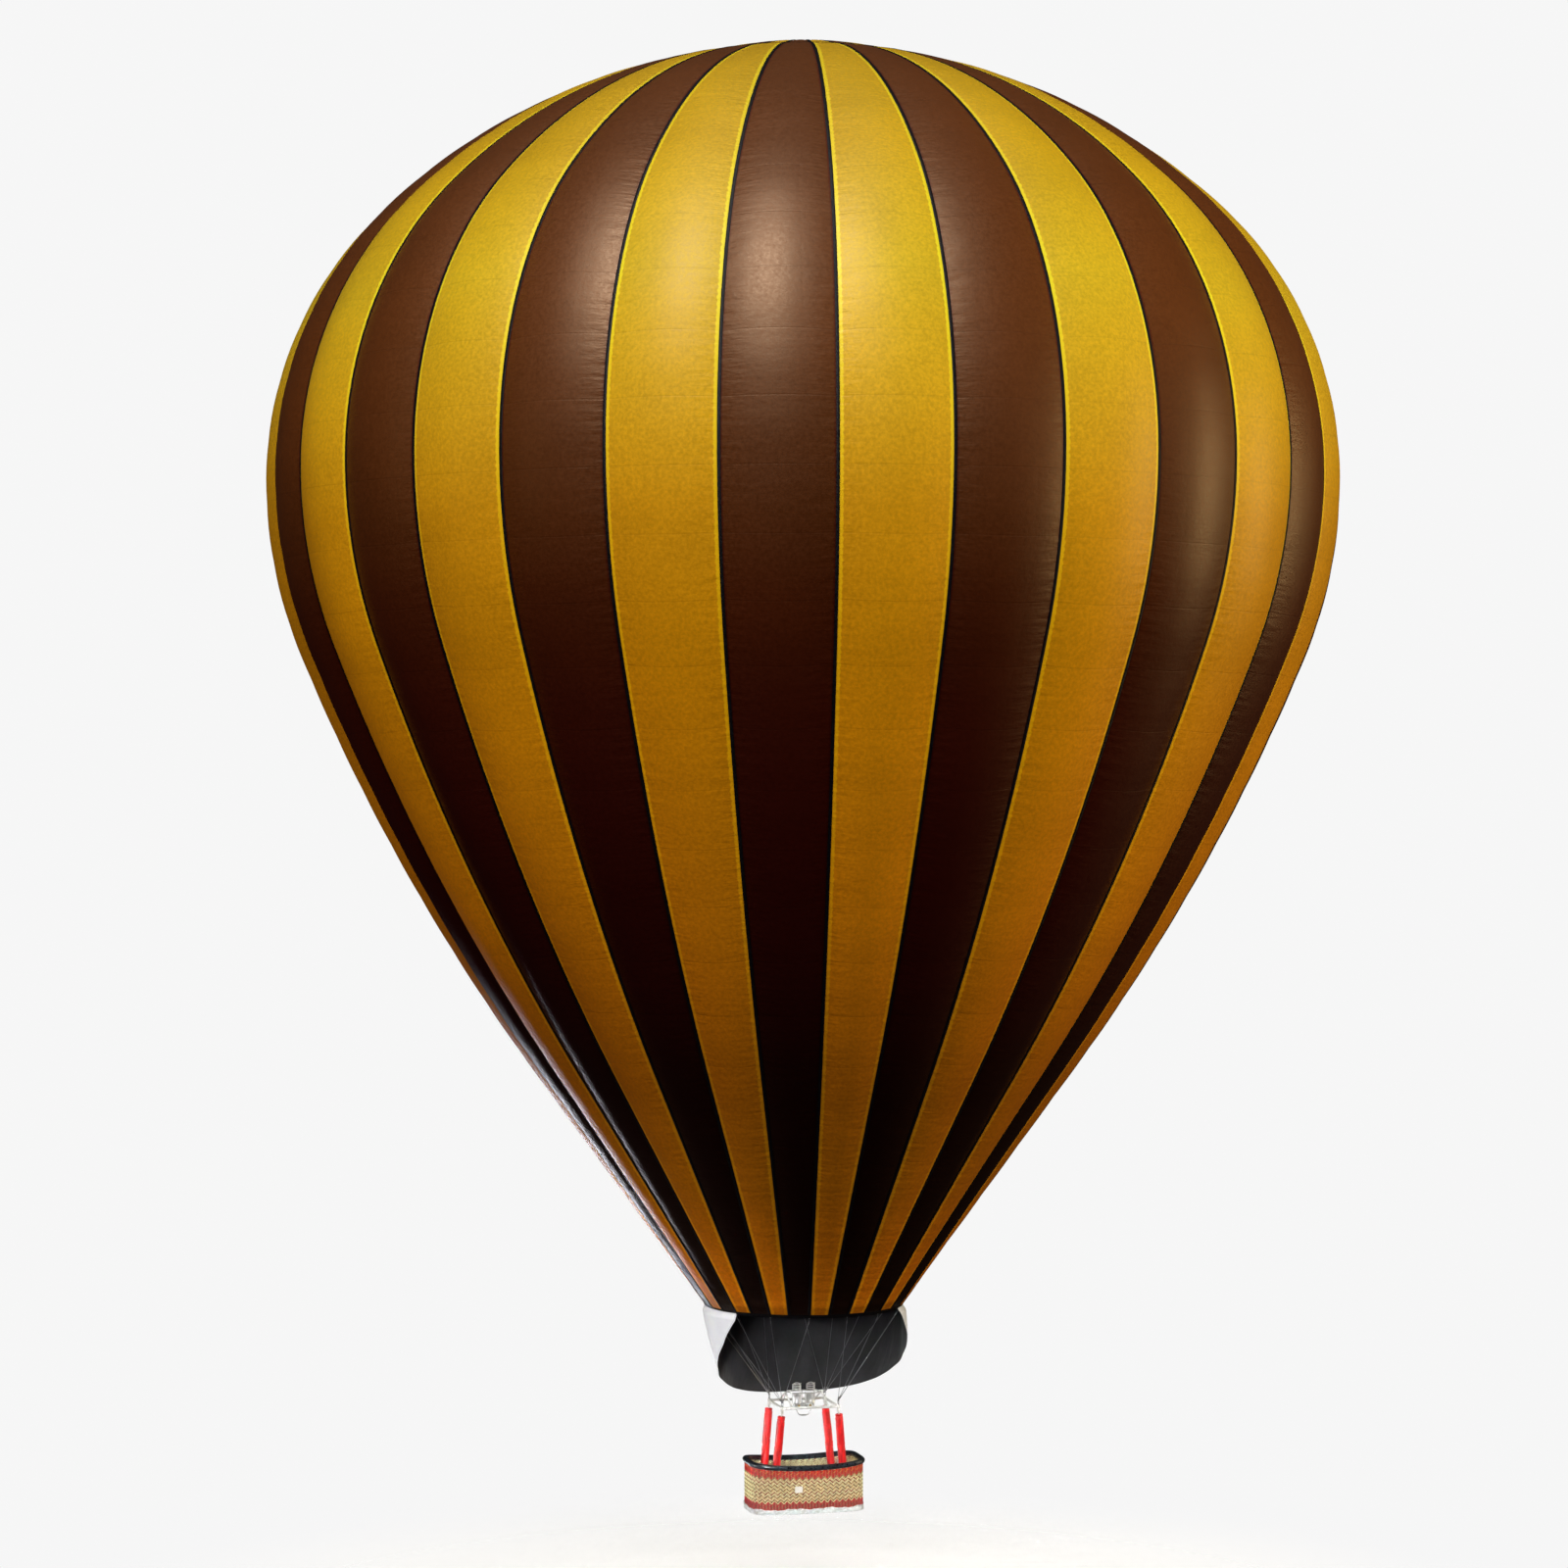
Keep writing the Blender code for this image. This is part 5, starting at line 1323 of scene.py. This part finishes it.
def make_rim(look):
    """Padded leather rim: a roll round the top of the wall, drawn in at its seams.

    The section's radius grows from a seam as the distance to the power 0.4, held after
    22 mm, and a fine sine ripples it beside the seams. Tone is the distance from the seam.
    """
    along = np.arange(800) * GIRTH / 800
    x, y = plan(along, -WALL / 2)
    z = WALL_TOP + RIM_RADIUS + 2 * GAP - rim_dip(x)
    path = np.stack([x, y, z], axis=-1)
    spacing = GIRTH / RIM_SEAMS
    to_seam = np.abs((along + spacing / 2) % spacing - spacing / 2)
    swell = 0.935 + 0.065 * np.clip(to_seam / 0.022, 0, 1) ** 0.4
    ripple = 0.0010 * np.sin(along * 2 * math.pi / 0.047) * np.exp(-to_seam / 0.06)
    section = sweep(path, look.rim_radius * swell + ripple, 28, (0, 0, 1), closed=True)
    form = Form()
    form.grid(section, along=True, uv=sweep_map(path, 28, 0.28, True), tone=to_seam[None, :, None])
    hide = leather("Rim leather", look.rim, [c * 2.5 + 0.002 for c in look.rim])
    rim = form.make("leather_rim", "root", [hide], ["rim_pad"], 70)


def make_hide(look):
    """Scuffed rawhide round the foot of the wall, laced on, with its edges cut unevenly.

    The upper edge is three sines of the way round; the face swells by two smaller ones.
    """
    along = np.arange(480) * GIRTH / 480
    wave = (0.010 * np.sin(along * 9.3) + 0.006 * np.sin(along * 23.1 + 1.0)
            + 0.004 * np.sin(along * 51.0))
    levels = np.array((0, 0.03, 0.25, 0.5, 0.75, 0.97, 1.0))[:, None]
    top, low = HIDE_TOP - 0.034 + wave, HIDE_LOW + 0.002
    z = top + (low - top) * levels
    swell = 0.0014 * np.sin(along * 17 + 3 * levels) + 0.0012 * np.sin(along * 41)
    edge = np.clip(np.minimum(levels, 1 - levels) / 0.03, 0, 1)
    place = np.broadcast_to(along, z.shape)
    outer = np.stack([*plan(place, GAP + 0.0045 + 0.0028 * edge + swell), z], axis=-1)
    inner = np.stack([*plan(place, 2 * GAP), z], axis=-1)
    form = Form()
    from_top = np.abs(top - z)
    form.grid(np.concatenate([outer, inner[::-1]]), along=True,
              tone=np.concatenate([from_top, from_top[::-1]]))
    lace = leather("Lace", (0.10, 0.045, 0.02), (0.2, 0.1, 0.05), 80.0, 0.5)
    start = np.arange(LACES) * GIRTH / LACES
    lower, upper = HIDE_TOP - 0.062, HIDE_TOP - 0.004
    steps = np.linspace(0, 1, 6)
    x, y = plan(start[:, None] + 0.018 * steps, GAP + 0.0062 - 0.012 * np.abs(2 * steps - 1) ** 6)
    rise = np.broadcast_to(lower + (upper - lower) * steps, x.shape)
    tube(form, np.stack([x, y, rise], axis=-1), 0.0032, 6, up=(0.3, 0.2, 0.1), slot=1)
    form.make("rawhide_foot", "root", [rawhide("Rawhide", look.hide), lace],
              ["base_hide"], 50)


def rawhide(name, colour):
    """Pale stiff hide: scuffs, level scrapes that show white, and brown stains."""
    f = Finish(name, specular_ior_level=0.4)
    scuff = f.noise(f.place(scale=(1, 1, 2.5)), 11.0, 5.0, 0.65)
    tint = f.mix(f.span(scuff, 0.38, 0.62), colour, [c * 0.62 for c in colour])
    scrape = f.span(f.noise(f.place(scale=(0.6, 0.6, 5)), 24.0, 4.0), 0.56, 0.62)
    tint = f.mix(f.product(scrape, 0.7), tint, (0.86, 0.87, 0.86))
    stain = f.span(f.noise(f.place(), 5.0, 3.0), 0.58, 0.70)
    tint = f.mix(f.product(stain, 0.5), tint, (0.20, 0.12, 0.08))
    f.bump(f.math("MULTIPLY_ADD", scuff, 0.004, f.product(scrape, -0.001)), 0.8)
    return f.finish(tint, f.marks(scuff, 0.45, 0.75))


def timber(name, colour, dark, plank=0.0):
    """Worn wood: rings drawn out along the grain, dirt and, on a floor, plank joints."""
    f = Finish(name, specular_ior_level=0.3)
    rings = f.noise(f.place(scale=(0.8, 12, 12)), 6.0, 5.0, 0.6)
    tint = f.mix(f.span(rings, 0.35, 0.65), colour, dark)
    tint = f.shade(tint, f.span(f.noise(f.place(), 5.0, 4.0), 0.45, 0.75, 1.0, 0.6))
    height = f.product(rings, 0.0012)
    if plank:
        _, y, _ = f.axes(f.place())
        joint = f.span(f.math("PINGPONG", y, plank / 2), 0.003, 0.0015)
        tint = f.shade(tint, f.math("SUBTRACT", 1.0, f.product(joint, 0.7)))
        height = f.math("MULTIPLY_ADD", joint, -0.002, height)
    f.bump(height, 0.7)
    return f.finish(tint, f.marks(rings, 0.5, 0.72))


def smeared(name, colour, gloss, grain, shade, depth, roughness):
    """Plain coat or plastic with faint smears that darken it, dent it and dull it.

    grain holds the smears' detail, scale and stretch, and depth the bump's height and
    strength.
    """
    f = Finish(name, specular_ior_level=gloss)
    detail, scale, stretch = grain
    smear = f.noise(f.place(scale=stretch), scale, detail)
    tint = f.shade(colour, f.span(smear, *shade))
    f.bump(f.product(smear, depth[0]), depth[1])
    return f.finish(tint, f.marks(smear, *roughness))


def make_base(look):
    """Chamfered runners, the blank plate with its screws, and finishes for floor and rods."""
    wood = timber("Runner wood", look.wood, [c * 0.45 for c in look.wood])
    half_x, half_y = RUNNER_HALF
    for name, side in (("front", -1), ("back", 1)):
        form = Form()
        y = side * RUNNER_Y
        block(form, (-half_x, y - half_y, BASKET_BOTTOM),
              (half_x, y + half_y, BASKET_BOTTOM + RUNNER_HEIGHT), 0.005, 0.012, 5)
        for x in (-0.7, -0.25, 0.25, 0.7):
            bolt(form, (x, y + side * (half_y - 0.0005), BASKET_BOTTOM + RUNNER_HEIGHT / 2),
                 (0, side, 0), 0.006)
        form.make(f"wooden_runner_{name}", "root", [wood], [f"runner_{name}"])
    make_plate(look)
    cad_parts["basket_floor"].material_slots[0].material = timber(
        "Floor ply", look.wood, [c * 0.6 for c in look.wood], 0.12)
    nylon = smeared("Nylon rod", look.nylon, 0.45, (3.0, 14.0, (6, 6, 0.5)), (0.3, 0.7, 0.85, 1.1),
                    (0.0006, 0.5), (0.35, 0.5))
    for name, _, _ in CORNERS:
        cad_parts[f"upright_rod_{name}"].material_slots[0].material = nylon


def make_plate(look):
    """Blank enamel plate on the front, rounded like a box that stands up, with four screws."""
    low, high = (np.array(corner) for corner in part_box("front_plate"))
    centre, (half_x, half_y, half_z) = (low + high) / 2, (high - low) / 2
    form = Form()
    block(form, (-half_x, -half_z, -half_y), (half_x, half_z, half_y), 0.0015, 0.014, 6)
    form.points[0] = form.points[0] @ STOOD_UP + centre
    for x in (-0.06, 0.06):
        for z in (-0.045, 0.045):
            bolt(form, (centre[0] + x, low[1] + 0.0002, centre[2] + z), (0, -1, 0), 0.0035, 1)
    enamel = smeared("White enamel", look.plate, 0.5, (4.0, 30.0, (1, 1, 1)), (0.35, 0.7, 1.0, 0.9),
                     (0.0004, 0.4), (0.3, 0.45))
    form.make("blank_plate", "root",
              [enamel, brushed_metal("Screws", (0.5, 0.5, 0.5))], ["front_plate"])


def make_cylinders(look):
    """Four gas cylinders with foot rings, guard collars, valves and straps."""
    satin = brushed_metal("Cylinder alloy", look.cylinder, 0.36, (3, 3, 50), 9.0)
    brass = brushed_metal("Valve brass", (0.70, 0.45, 0.15), 0.28)
    strap = webbing("Cylinder strap", (0.012, 0.012, 0.014))
    body = [(0.100, 0.0), (0.118, 0.0), (0.124, 0.006), (0.124, 0.022), (0.132, 0.030),
            (0.1385, 0.045), (0.140, 0.060), (0.140, 0.520), (0.1385, 0.545), (0.133, 0.570),
            (0.124, 0.590), (0.110, 0.606), (0.098, 0.612), (0.090, 0.622), (0.090, 0.762),
            (0.0935, 0.770), (0.0935, 0.777), (0.089, 0.780), (0.083, 0.778), (0.082, 0.768),
            (0.082, 0.640), (0.060, 0.650), (0.030, 0.655)]
    stem = [(0.030, 0.648), (0.030, 0.662), (0.017, 0.666), (0.017, 0.704), (0.020, 0.708),
            (0.020, 0.722), (0.010, 0.726)]
    outlet = [(0.010, 0.0), (0.010, 0.030), (0.015, 0.032), (0.015, 0.048), (0.011, 0.050)]
    hub = [(0.022, 0.731), (0.024, 0.734), (0.022, 0.737)]
    for name, side_x, side_y in CORNERS:
        x, y = CYLINDER_PLACE
        centre = np.array((side_x * x, side_y * y, FLOOR_TOP + GAP))
        form = Form()
        turned(form, body, centre, (0, 0, 1), 48)
        for height in (0.18, 0.42):
            collar(form, centre + (0, 0, height), (0, 0, 1), 0.1395, 0.1425, 0.022, 0.002, 48, 2)
            buckle = centre + (0, -side_y * 0.146, height)
            half = np.array((0.03, 0.006, 0.028))
            block(form, buckle - half, buckle + half, 0.003, 0.008, 4)
        turned(form, stem, centre, (0, 0, 1), 20, slot=1)
        turned(form, outlet, centre + (0, 0, 0.685), (side_x, 0, 0), 16, slot=1)
        tube(form, centre + circle(0.027, 0.734, 28), 0.0045, 8, closed=True, slot=1)
        turned(form, hub, centre, (0, 0, 1), 16, slot=1)
        form.make(f"cylinder_{name}", "root", [satin, brass, strap],
                  [f"gas_cylinder_{name}"])


# Stage.

def make_stage(look):
    """Pale floor, soft studio lights and the camera of the photograph.

    The floor is a disc whose colour thins out with the distance from its middle, so that it
    runs into the background.
    """
    scene = bpy.context.scene
    scene.view_settings.view_transform = "Standard"
    scene.view_settings.look = "None"
    face = np.stack([circle(radius, look.floor_height, 96)
                     for radius in (0.05, 2, 5, 10, 20, 40, 60)])
    form = Form()
    form.grid(np.concatenate([face, face[::-1] - (0, 0, 0.2)]), ends="disc")
    floor = plain_object(form.mesh("studio_floor"), [floor_finish(look)])
    floor.visible_glossy = floor.visible_diffuse = False
    scene.world = make_world(look)

    ahead, low = (0, 0, 0), (0, 0, -2)
    soft_light("Key", (-13, -56, 30), ahead, (24, 20), look.key).visible_glossy = False
    soft_light("Shine", (-20.5, -33, 46), ahead, (16, 30), look.shine).visible_diffuse = False
    soft_light("Overhead", (0, 0, 45), ahead, (24, 24), look.overhead).visible_glossy = False
    soft_light("Right box", (50, -17, -1), low, (10, 24), look.right, AMBER)
    soft_light("Right fill", (32, -42, 4), low, (14, 20), look.right_fill).visible_glossy = False
    soft_light("Left fill", (-50, -12, 4), low, (14, 20), look.left, WARM).visible_glossy = False
    soft_light("Low left", (-40, 9, -21), (0, 0, -17.2), (6, 7), look.low_left, spread=20)
    soft_light("Rim light", (-11.5, 44, -29.9), (-3.6, 1, -15.2), (5, 8), look.rim_light,
               COOL, 10).visible_diffuse = False
    soft_light("Basket box", (-17, -45, -9), (0, 0, -18.9), (9, 3), look.basket, spread=9)

    data = bpy.data.cameras.new("Photo camera")
    camera = bpy.data.objects.new("Photo camera", data)
    scene.collection.objects.link(camera)
    turn = look.camera_azimuth
    distance = look.camera_distance
    camera.location = (distance * math.sin(turn), -distance * math.cos(turn), look.camera_height)
    camera.rotation_euler = (math.pi / 2, 0.0, turn + look.camera_pan)
    data.lens = look.lens
    data.sensor_width = 36.0
    data.clip_start, data.clip_end = 0.5, 600.0
    scene.camera = camera


def make_world(look):
    """Backdrop for the camera, and for all other rays a fill that grows with their height.

    Glossy surfaces mirror only a share of the fill.
    """
    world = bpy.data.worlds.new("Studio")
    world.use_nodes = True
    tree = world.node_tree
    tree.nodes.clear()
    direction = add_node(tree, "TexCoord", {}, "Generated")
    up = add_node(tree, "SeparateXYZ", {0: direction}, 2)
    sky = add_node(tree, "MapRange", {"Value": up, "From Min": -0.1, "From Max": 0.5,
                                      "To Min": look.fill_low, "To Max": look.fill})
    glossy = add_node(tree, "LightPath", {}, "Is Glossy Ray")
    mirrored = add_node(tree, "MapRange", {"Value": glossy, "To Min": 1.0,
                                           "To Max": look.mirrored_fill})
    strength = add_node(tree, "Math", {0: sky, 1: mirrored}, operation="MULTIPLY")
    fill = add_node(tree, "Background", {0: SKY, 1: strength})
    seen = add_node(tree, "Background", {0: look.backdrop})
    by_camera = add_node(tree, "LightPath", {}, "Is Camera Ray")
    mix = add_node(tree, "MixShader", {0: by_camera, 1: fill, 2: seen})
    tree.links.new(mix, tree.nodes.new("ShaderNodeOutputWorld").inputs[0])
    return world


def floor_finish(look):
    """Matt pale floor that thins out with the distance from the middle."""
    f = Finish("Studio floor", specular_ior_level=0.1, emission_color=(1.0, 1.0, 1.0, 1.0),
               emission_strength=look.floor_glow)
    x, y, _ = f.axes(f.place())
    reach = f.math("SQRT", f.math("ADD", f.product(x, x), f.product(y, y)))
    thin = f.span(reach, look.floor_solid, look.floor_fade, 1.0, 0.0, True)
    put(f.tree, f.shader.inputs["Alpha"], thin)
    tint = f.shade(look.floor_colour, f.marks(f.noise(f.place(), 3.0, 2.0), 0.995, 1.005))
    return f.finish(tint, 0.9)


def soft_light(name, place, aim, size, power, colour=WHITE, spread=180):
    """Rectangular lamp that looks from its place at its aim."""
    data = bpy.data.lights.new(name, "AREA")
    data.shape = "RECTANGLE"
    data.size, data.size_y = size
    data.energy = power
    data.color = colour
    data.spread = math.radians(spread)
    lamp = bpy.data.objects.new(name, data)
    lamp.visible_camera = False
    lamp.location = place
    aim = [b - a for a, b in zip(place, aim)]
    flat = math.hypot(aim[0], aim[1])
    lamp.rotation_euler = (math.pi / 2 + math.atan2(aim[2], flat), 0.0, math.atan2(-aim[0], aim[1]))
    bpy.context.scene.collection.objects.link(lamp)
    return lamp


# Panel.

def colour_property(name, description, default):
    """Colour setting."""
    return bpy.props.FloatVectorProperty(name=name, description=description, default=default,
                                         subtype="COLOR", size=3, min=0.0, max=1.0)


def length_property(name, description, default):
    """Length setting in metres."""
    return bpy.props.FloatProperty(name=name, description=description, default=default,
                                   subtype="DISTANCE", unit="LENGTH")


def power_property(name, description, default):
    """Lamp setting in watts."""
    return bpy.props.FloatProperty(name=name, description=description, default=default,
                                   subtype="POWER", unit="POWER", min=0.0)


def angle_property(name, description, degrees):
    """Angle setting, kept in radians."""
    return bpy.props.FloatProperty(name=name, description=description,
                                   default=math.radians(degrees), subtype="ANGLE",
                                   unit="ROTATION")


def share_property(name, description, default):
    """Plain number."""
    return bpy.props.FloatProperty(name=name, description=description, default=default)


def count_property(name, description, default):
    """Whole number from one up."""
    return bpy.props.IntProperty(name=name, description=description, default=default, min=1)


class EnvelopeLook(bpy.types.PropertyGroup):
    """Cloth and tapes of the envelope."""

    yellow: colour_property("Yellow", "Cloth of every second gore", (0.74, 0.455, 0.028))
    brown: colour_property("Brown", "Cloth of the gores between", (0.118, 0.030, 0.004))
    tape: colour_property("Tape", "Load tapes and hem", (0.004, 0.0035, 0.0045))
    seam_depth: length_property("Seam depth", "How far a seam lies below a gore's middle", 0.157)
    panel_sag: length_property("Panel sag", "How far a cloth panel sinks at its cross seams", 0.007)
    tape_width: length_property("Tape width", "Width of a load tape", 0.060)
    valve_bulge: share_property("Valve bulge", "Share that it rises between two tapes", 0.06)


class RigLook(bpy.types.PropertyGroup):
    """Scoop, frame, wires, covers and burner."""

    # Dark colour of the scoop's inside: painted shade of its hollow.
    scoop_inside_shade: colour_property("Scoop inside shade", "Dark cloth inside", (0.046, 0.045, 0.049))
    scoop_outside: colour_property("Scoop outside", "Pale cloth on the outside", (0.86, 0.89, 0.98))
    scoop_fold: share_property("Scoop folds", "Rise of the folds as a share of the fall", 0.014)
    scoop_lean: length_property("Scoop lean", "How far its low edge is held towards +X", 0.18)
    frame_paint: colour_property("Frame paint", "Paint of the burner frame", (0.92, 0.92, 0.91))
    wire: colour_property("Wire", "Steel of the wires", (0.42, 0.42, 0.44))
    wire_radius: length_property("Wire radius", "Radius of a wire", 0.005)
    cover: colour_property("Covers", "Nylon of the padded covers", (0.80, 0.008, 0.010))
    cover_radius: length_property("Cover radius", "Radius before the covers are filled", 0.072)
    cover_ties: count_property("Cover lengths", "Lengths between ties", 1)
    cover_voxel: length_property("Cover mesh", "Size of the cloth's cells", 0.0075)
    cover_cap: length_property("Cover swell", "Furthest that the cloth may move", 0.010)
    steel: colour_property("Steel", "Burner and gimbal", (0.92, 0.92, 0.93))


class BasketLook(bpy.types.PropertyGroup):
    """Wicker, rim, hide, cylinders and timber."""

    wave_length: length_property("Wave length", "Length of one zigzag of the rows", 0.118)
    wave_height: length_property("Wave height", "Height of a zigzag from low to high", 0.044)
    weave_depth: length_property("Weave depth", "How far a strand swings in and out", 0.0105)
    weave_bottom: length_property("Weave start", "Height of the lowest strand", -19.10)
    strand_pitch: length_property("Strand pitch", "Distance from strand to strand", 0.0145)
    strand_depth: length_property("Strand depth", "Half of a strand's thickness", 0.0062)
    strand_height: length_property("Strand height", "Half of a strand's height", 0.0070)
    red_strands: count_property("Red strands", "Strands in the band below the rim", 10)
    crimson_strands: count_property("Crimson strands", "Strands in the band above the hide", 11)
    rim: colour_property("Rim", "Leather of the rim", (0.004, 0.008, 0.013))
    rim_radius: length_property("Rim radius", "Radius of the padded roll between its seams", 0.051)
    hide: colour_property("Hide", "Rawhide round the foot", (0.78, 0.82, 0.84))
    wood: colour_property("Wood", "Floor and runners", (0.42, 0.27, 0.14))
    plate: colour_property("Plate", "Blank plate on the front", (0.85, 0.85, 0.85))
    nylon: colour_property("Rods", "Nylon of the uprights", (0.70, 0.69, 0.64))
    cylinder: colour_property("Cylinders", "Alloy of the gas cylinders", (0.60, 0.62, 0.62))


class StageLook(bpy.types.PropertyGroup):
    """Floor, lights and camera."""

    floor_height: length_property("Floor", "Height of the floor", -21.7)
    floor_colour: colour_property("Floor colour", "Matt floor", (0.90, 0.90, 0.90))
    floor_solid: length_property("Solid floor", "Radius within which the floor is solid", 3.0)
    floor_fade: length_property("Floor end", "Radius at which the floor has run out", 16.0)
    floor_glow: share_property("Floor glow", "Light of its own, to match the backdrop", 0.62)
    backdrop: colour_property("Backdrop", "Background behind the balloon", (0.923, 0.923, 0.923))
    fill: share_property("Fill", "Light from above, from all round", 0.06)
    fill_low: share_property("Low fill", "Light from below", 0.03)
    mirrored_fill: share_property("Mirrored fill", "Share of it that glossy surfaces show", 0.25)
    key: power_property("Key", "Large box in front and above", 25000.0)
    shine: power_property("Shine", "Box that shines on the cloth", 54000.0)
    overhead: power_property("Overhead", "Large box above", 3800.0)
    right: power_property("Right box", "Tall box on the right", 11000.0)
    right_fill: power_property("Right fill", "Weak box in front on the right", 2900.0)
    left: power_property("Left fill", "Tall box on the left", 6600.0)
    low_left: power_property("Low left", "Narrow box low on the left", 120.0)
    rim_light: power_property("Rim light", "Narrow box behind, low on the left flank", 28.0)
    basket: power_property("Basket box", "Narrow box on the basket", 115.0)
    camera_azimuth: angle_property("Camera azimuth", "From the front towards +X", -14.5)
    camera_pan: angle_property("Camera pan", "How far it is turned left of the axis", 0.301)
    camera_distance: length_property("Camera distance", "Distance from the balloon's axis", 70.0)
    camera_height: length_property("Camera height", "Height of the lens", -5.58)
    lens: bpy.props.FloatProperty(name="Lens", description="Focal length in millimetres",
                                  default=85.57, unit="CAMERA")


class BALLOON_OT_gores(bpy.types.Operator):
    """Sews the yellow and brown gores of the envelope"""
    bl_idname = "balloon.gores"
    bl_label = "Gores"

    def execute(self, context):
        make_gores(context.scene.balloon_envelope)
        return {"FINISHED"}


class BALLOON_OT_load_tapes(bpy.types.Operator):
    """Lays the load tapes, their hub, the vent's tape and the hem tape"""
    bl_idname = "balloon.load_tapes"
    bl_label = "Load tapes"

    def execute(self, context):
        make_load_tapes(context.scene.balloon_envelope)
        return {"FINISHED"}


class BALLOON_OT_crown(bpy.types.Operator):
    """Makes the parachute valve and the crown ring"""
    bl_idname = "balloon.crown"
    bl_label = "Crown"

    def execute(self, context):
        make_crown(context.scene.balloon_envelope)
        return {"FINISHED"}


class BALLOON_OT_scoop(bpy.types.Operator):
    """Hangs the scoop below the mouth"""
    bl_idname = "balloon.scoop"
    bl_label = "Scoop"

    def execute(self, context):
        make_scoop(context.scene.balloon_rig)
        return {"FINISHED"}


class BALLOON_OT_burner_frame(bpy.types.Operator):
    """Makes the white burner frame"""
    bl_idname = "balloon.burner_frame"
    bl_label = "Burner frame"

    def execute(self, context):
        make_burner_frame(context.scene.balloon_rig)
        return {"FINISHED"}


class BALLOON_OT_wires(bpy.types.Operator):
    """Runs the wires from the frame to the hem"""
    bl_idname = "balloon.wires"
    bl_label = "Wires"

    def execute(self, context):
        make_wires(context.scene.balloon_rig)
        return {"FINISHED"}


class BALLOON_OT_uprights(bpy.types.Operator):
    """Makes the padded covers of the uprights"""
    bl_idname = "balloon.uprights"
    bl_label = "Upright covers"

    def execute(self, context):
        make_uprights(context.scene.balloon_rig)
        return {"FINISHED"}


class BALLOON_OT_gimbal(bpy.types.Operator):
    """Makes the gimbal ring"""
    bl_idname = "balloon.gimbal"
    bl_label = "Gimbal"

    def execute(self, context):
        make_gimbal(context.scene.balloon_rig)
        return {"FINISHED"}


class BALLOON_OT_burner(bpy.types.Operator):
    """Makes the valve block, cans and coils"""
    bl_idname = "balloon.burner"
    bl_label = "Burner"

    def execute(self, context):
        make_burner(context.scene.balloon_rig)
        return {"FINISHED"}


class BALLOON_OT_wicker(bpy.types.Operator):
    """Weaves the basket's wall"""
    bl_idname = "balloon.wicker"
    bl_label = "Wicker"

    def execute(self, context):
        make_wicker(context.scene.balloon_basket)
        return {"FINISHED"}


class BALLOON_OT_rim(bpy.types.Operator):
    """Pads the basket's rim"""
    bl_idname = "balloon.rim"
    bl_label = "Rim"

    def execute(self, context):
        make_rim(context.scene.balloon_basket)
        return {"FINISHED"}


class BALLOON_OT_hide(bpy.types.Operator):
    """Laces the rawhide round the basket's foot"""
    bl_idname = "balloon.hide"
    bl_label = "Hide"

    def execute(self, context):
        make_hide(context.scene.balloon_basket)
        return {"FINISHED"}


class BALLOON_OT_base(bpy.types.Operator):
    """Makes runners and plate, and finishes floor and rods"""
    bl_idname = "balloon.base"
    bl_label = "Base"

    def execute(self, context):
        make_base(context.scene.balloon_basket)
        return {"FINISHED"}


class BALLOON_OT_cylinders(bpy.types.Operator):
    """Makes the four gas cylinders"""
    bl_idname = "balloon.cylinders"
    bl_label = "Gas cylinders"

    def execute(self, context):
        make_cylinders(context.scene.balloon_basket)
        return {"FINISHED"}


class BALLOON_OT_stage(bpy.types.Operator):
    """Sets the floor, the lights and the camera"""
    bl_idname = "balloon.stage"
    bl_label = "Stage"

    def execute(self, context):
        make_stage(context.scene.balloon_stage)
        return {"FINISHED"}


PIECES = (BALLOON_OT_gores, BALLOON_OT_load_tapes, BALLOON_OT_crown, BALLOON_OT_scoop,
          BALLOON_OT_burner_frame, BALLOON_OT_wires, BALLOON_OT_uprights, BALLOON_OT_gimbal,
          BALLOON_OT_burner, BALLOON_OT_wicker, BALLOON_OT_rim, BALLOON_OT_hide,
          BALLOON_OT_base, BALLOON_OT_cylinders, BALLOON_OT_stage)


class BALLOON_PT_pieces(bpy.types.Panel):
    """Lists the balloon's pieces and their settings"""
    bl_idname = "BALLOON_PT_pieces"
    bl_label = "Balloon"
    bl_space_type = "VIEW_3D"
    bl_region_type = "UI"
    bl_category = "Balloon"

    def draw(self, context):
        for piece in PIECES:
            self.layout.operator(piece.bl_idname)
        for look in LOOKS:
            box = self.layout.box()
            settings = getattr(context.scene, look)
            for name in settings.bl_rna.properties.keys():
                if name not in ("name", "rna_type"):
                    box.prop(settings, name)


LOOKS = {"balloon_envelope": EnvelopeLook, "balloon_rig": RigLook, "balloon_basket": BasketLook,
         "balloon_stage": StageLook}


def register():
    """Registers the settings, the operators and the panel."""
    for thing in (*LOOKS.values(), *PIECES, BALLOON_PT_pieces):
        bpy.utils.register_class(thing)
    for name, look in LOOKS.items():
        setattr(bpy.types.Scene, name, bpy.props.PointerProperty(type=look))


def unregister():
    """Takes them out again."""
    for name in LOOKS:
        delattr(bpy.types.Scene, name)
    for thing in (BALLOON_PT_pieces, *reversed(PIECES), *reversed(LOOKS.values())):
        bpy.utils.unregister_class(thing)


def main():
    """Makes every piece in turn."""
    register()
    for piece in PIECES:
        group, name = piece.bl_idname.split(".")
        getattr(getattr(bpy.ops, group), name)()


if __name__ == "__main__":
    main()
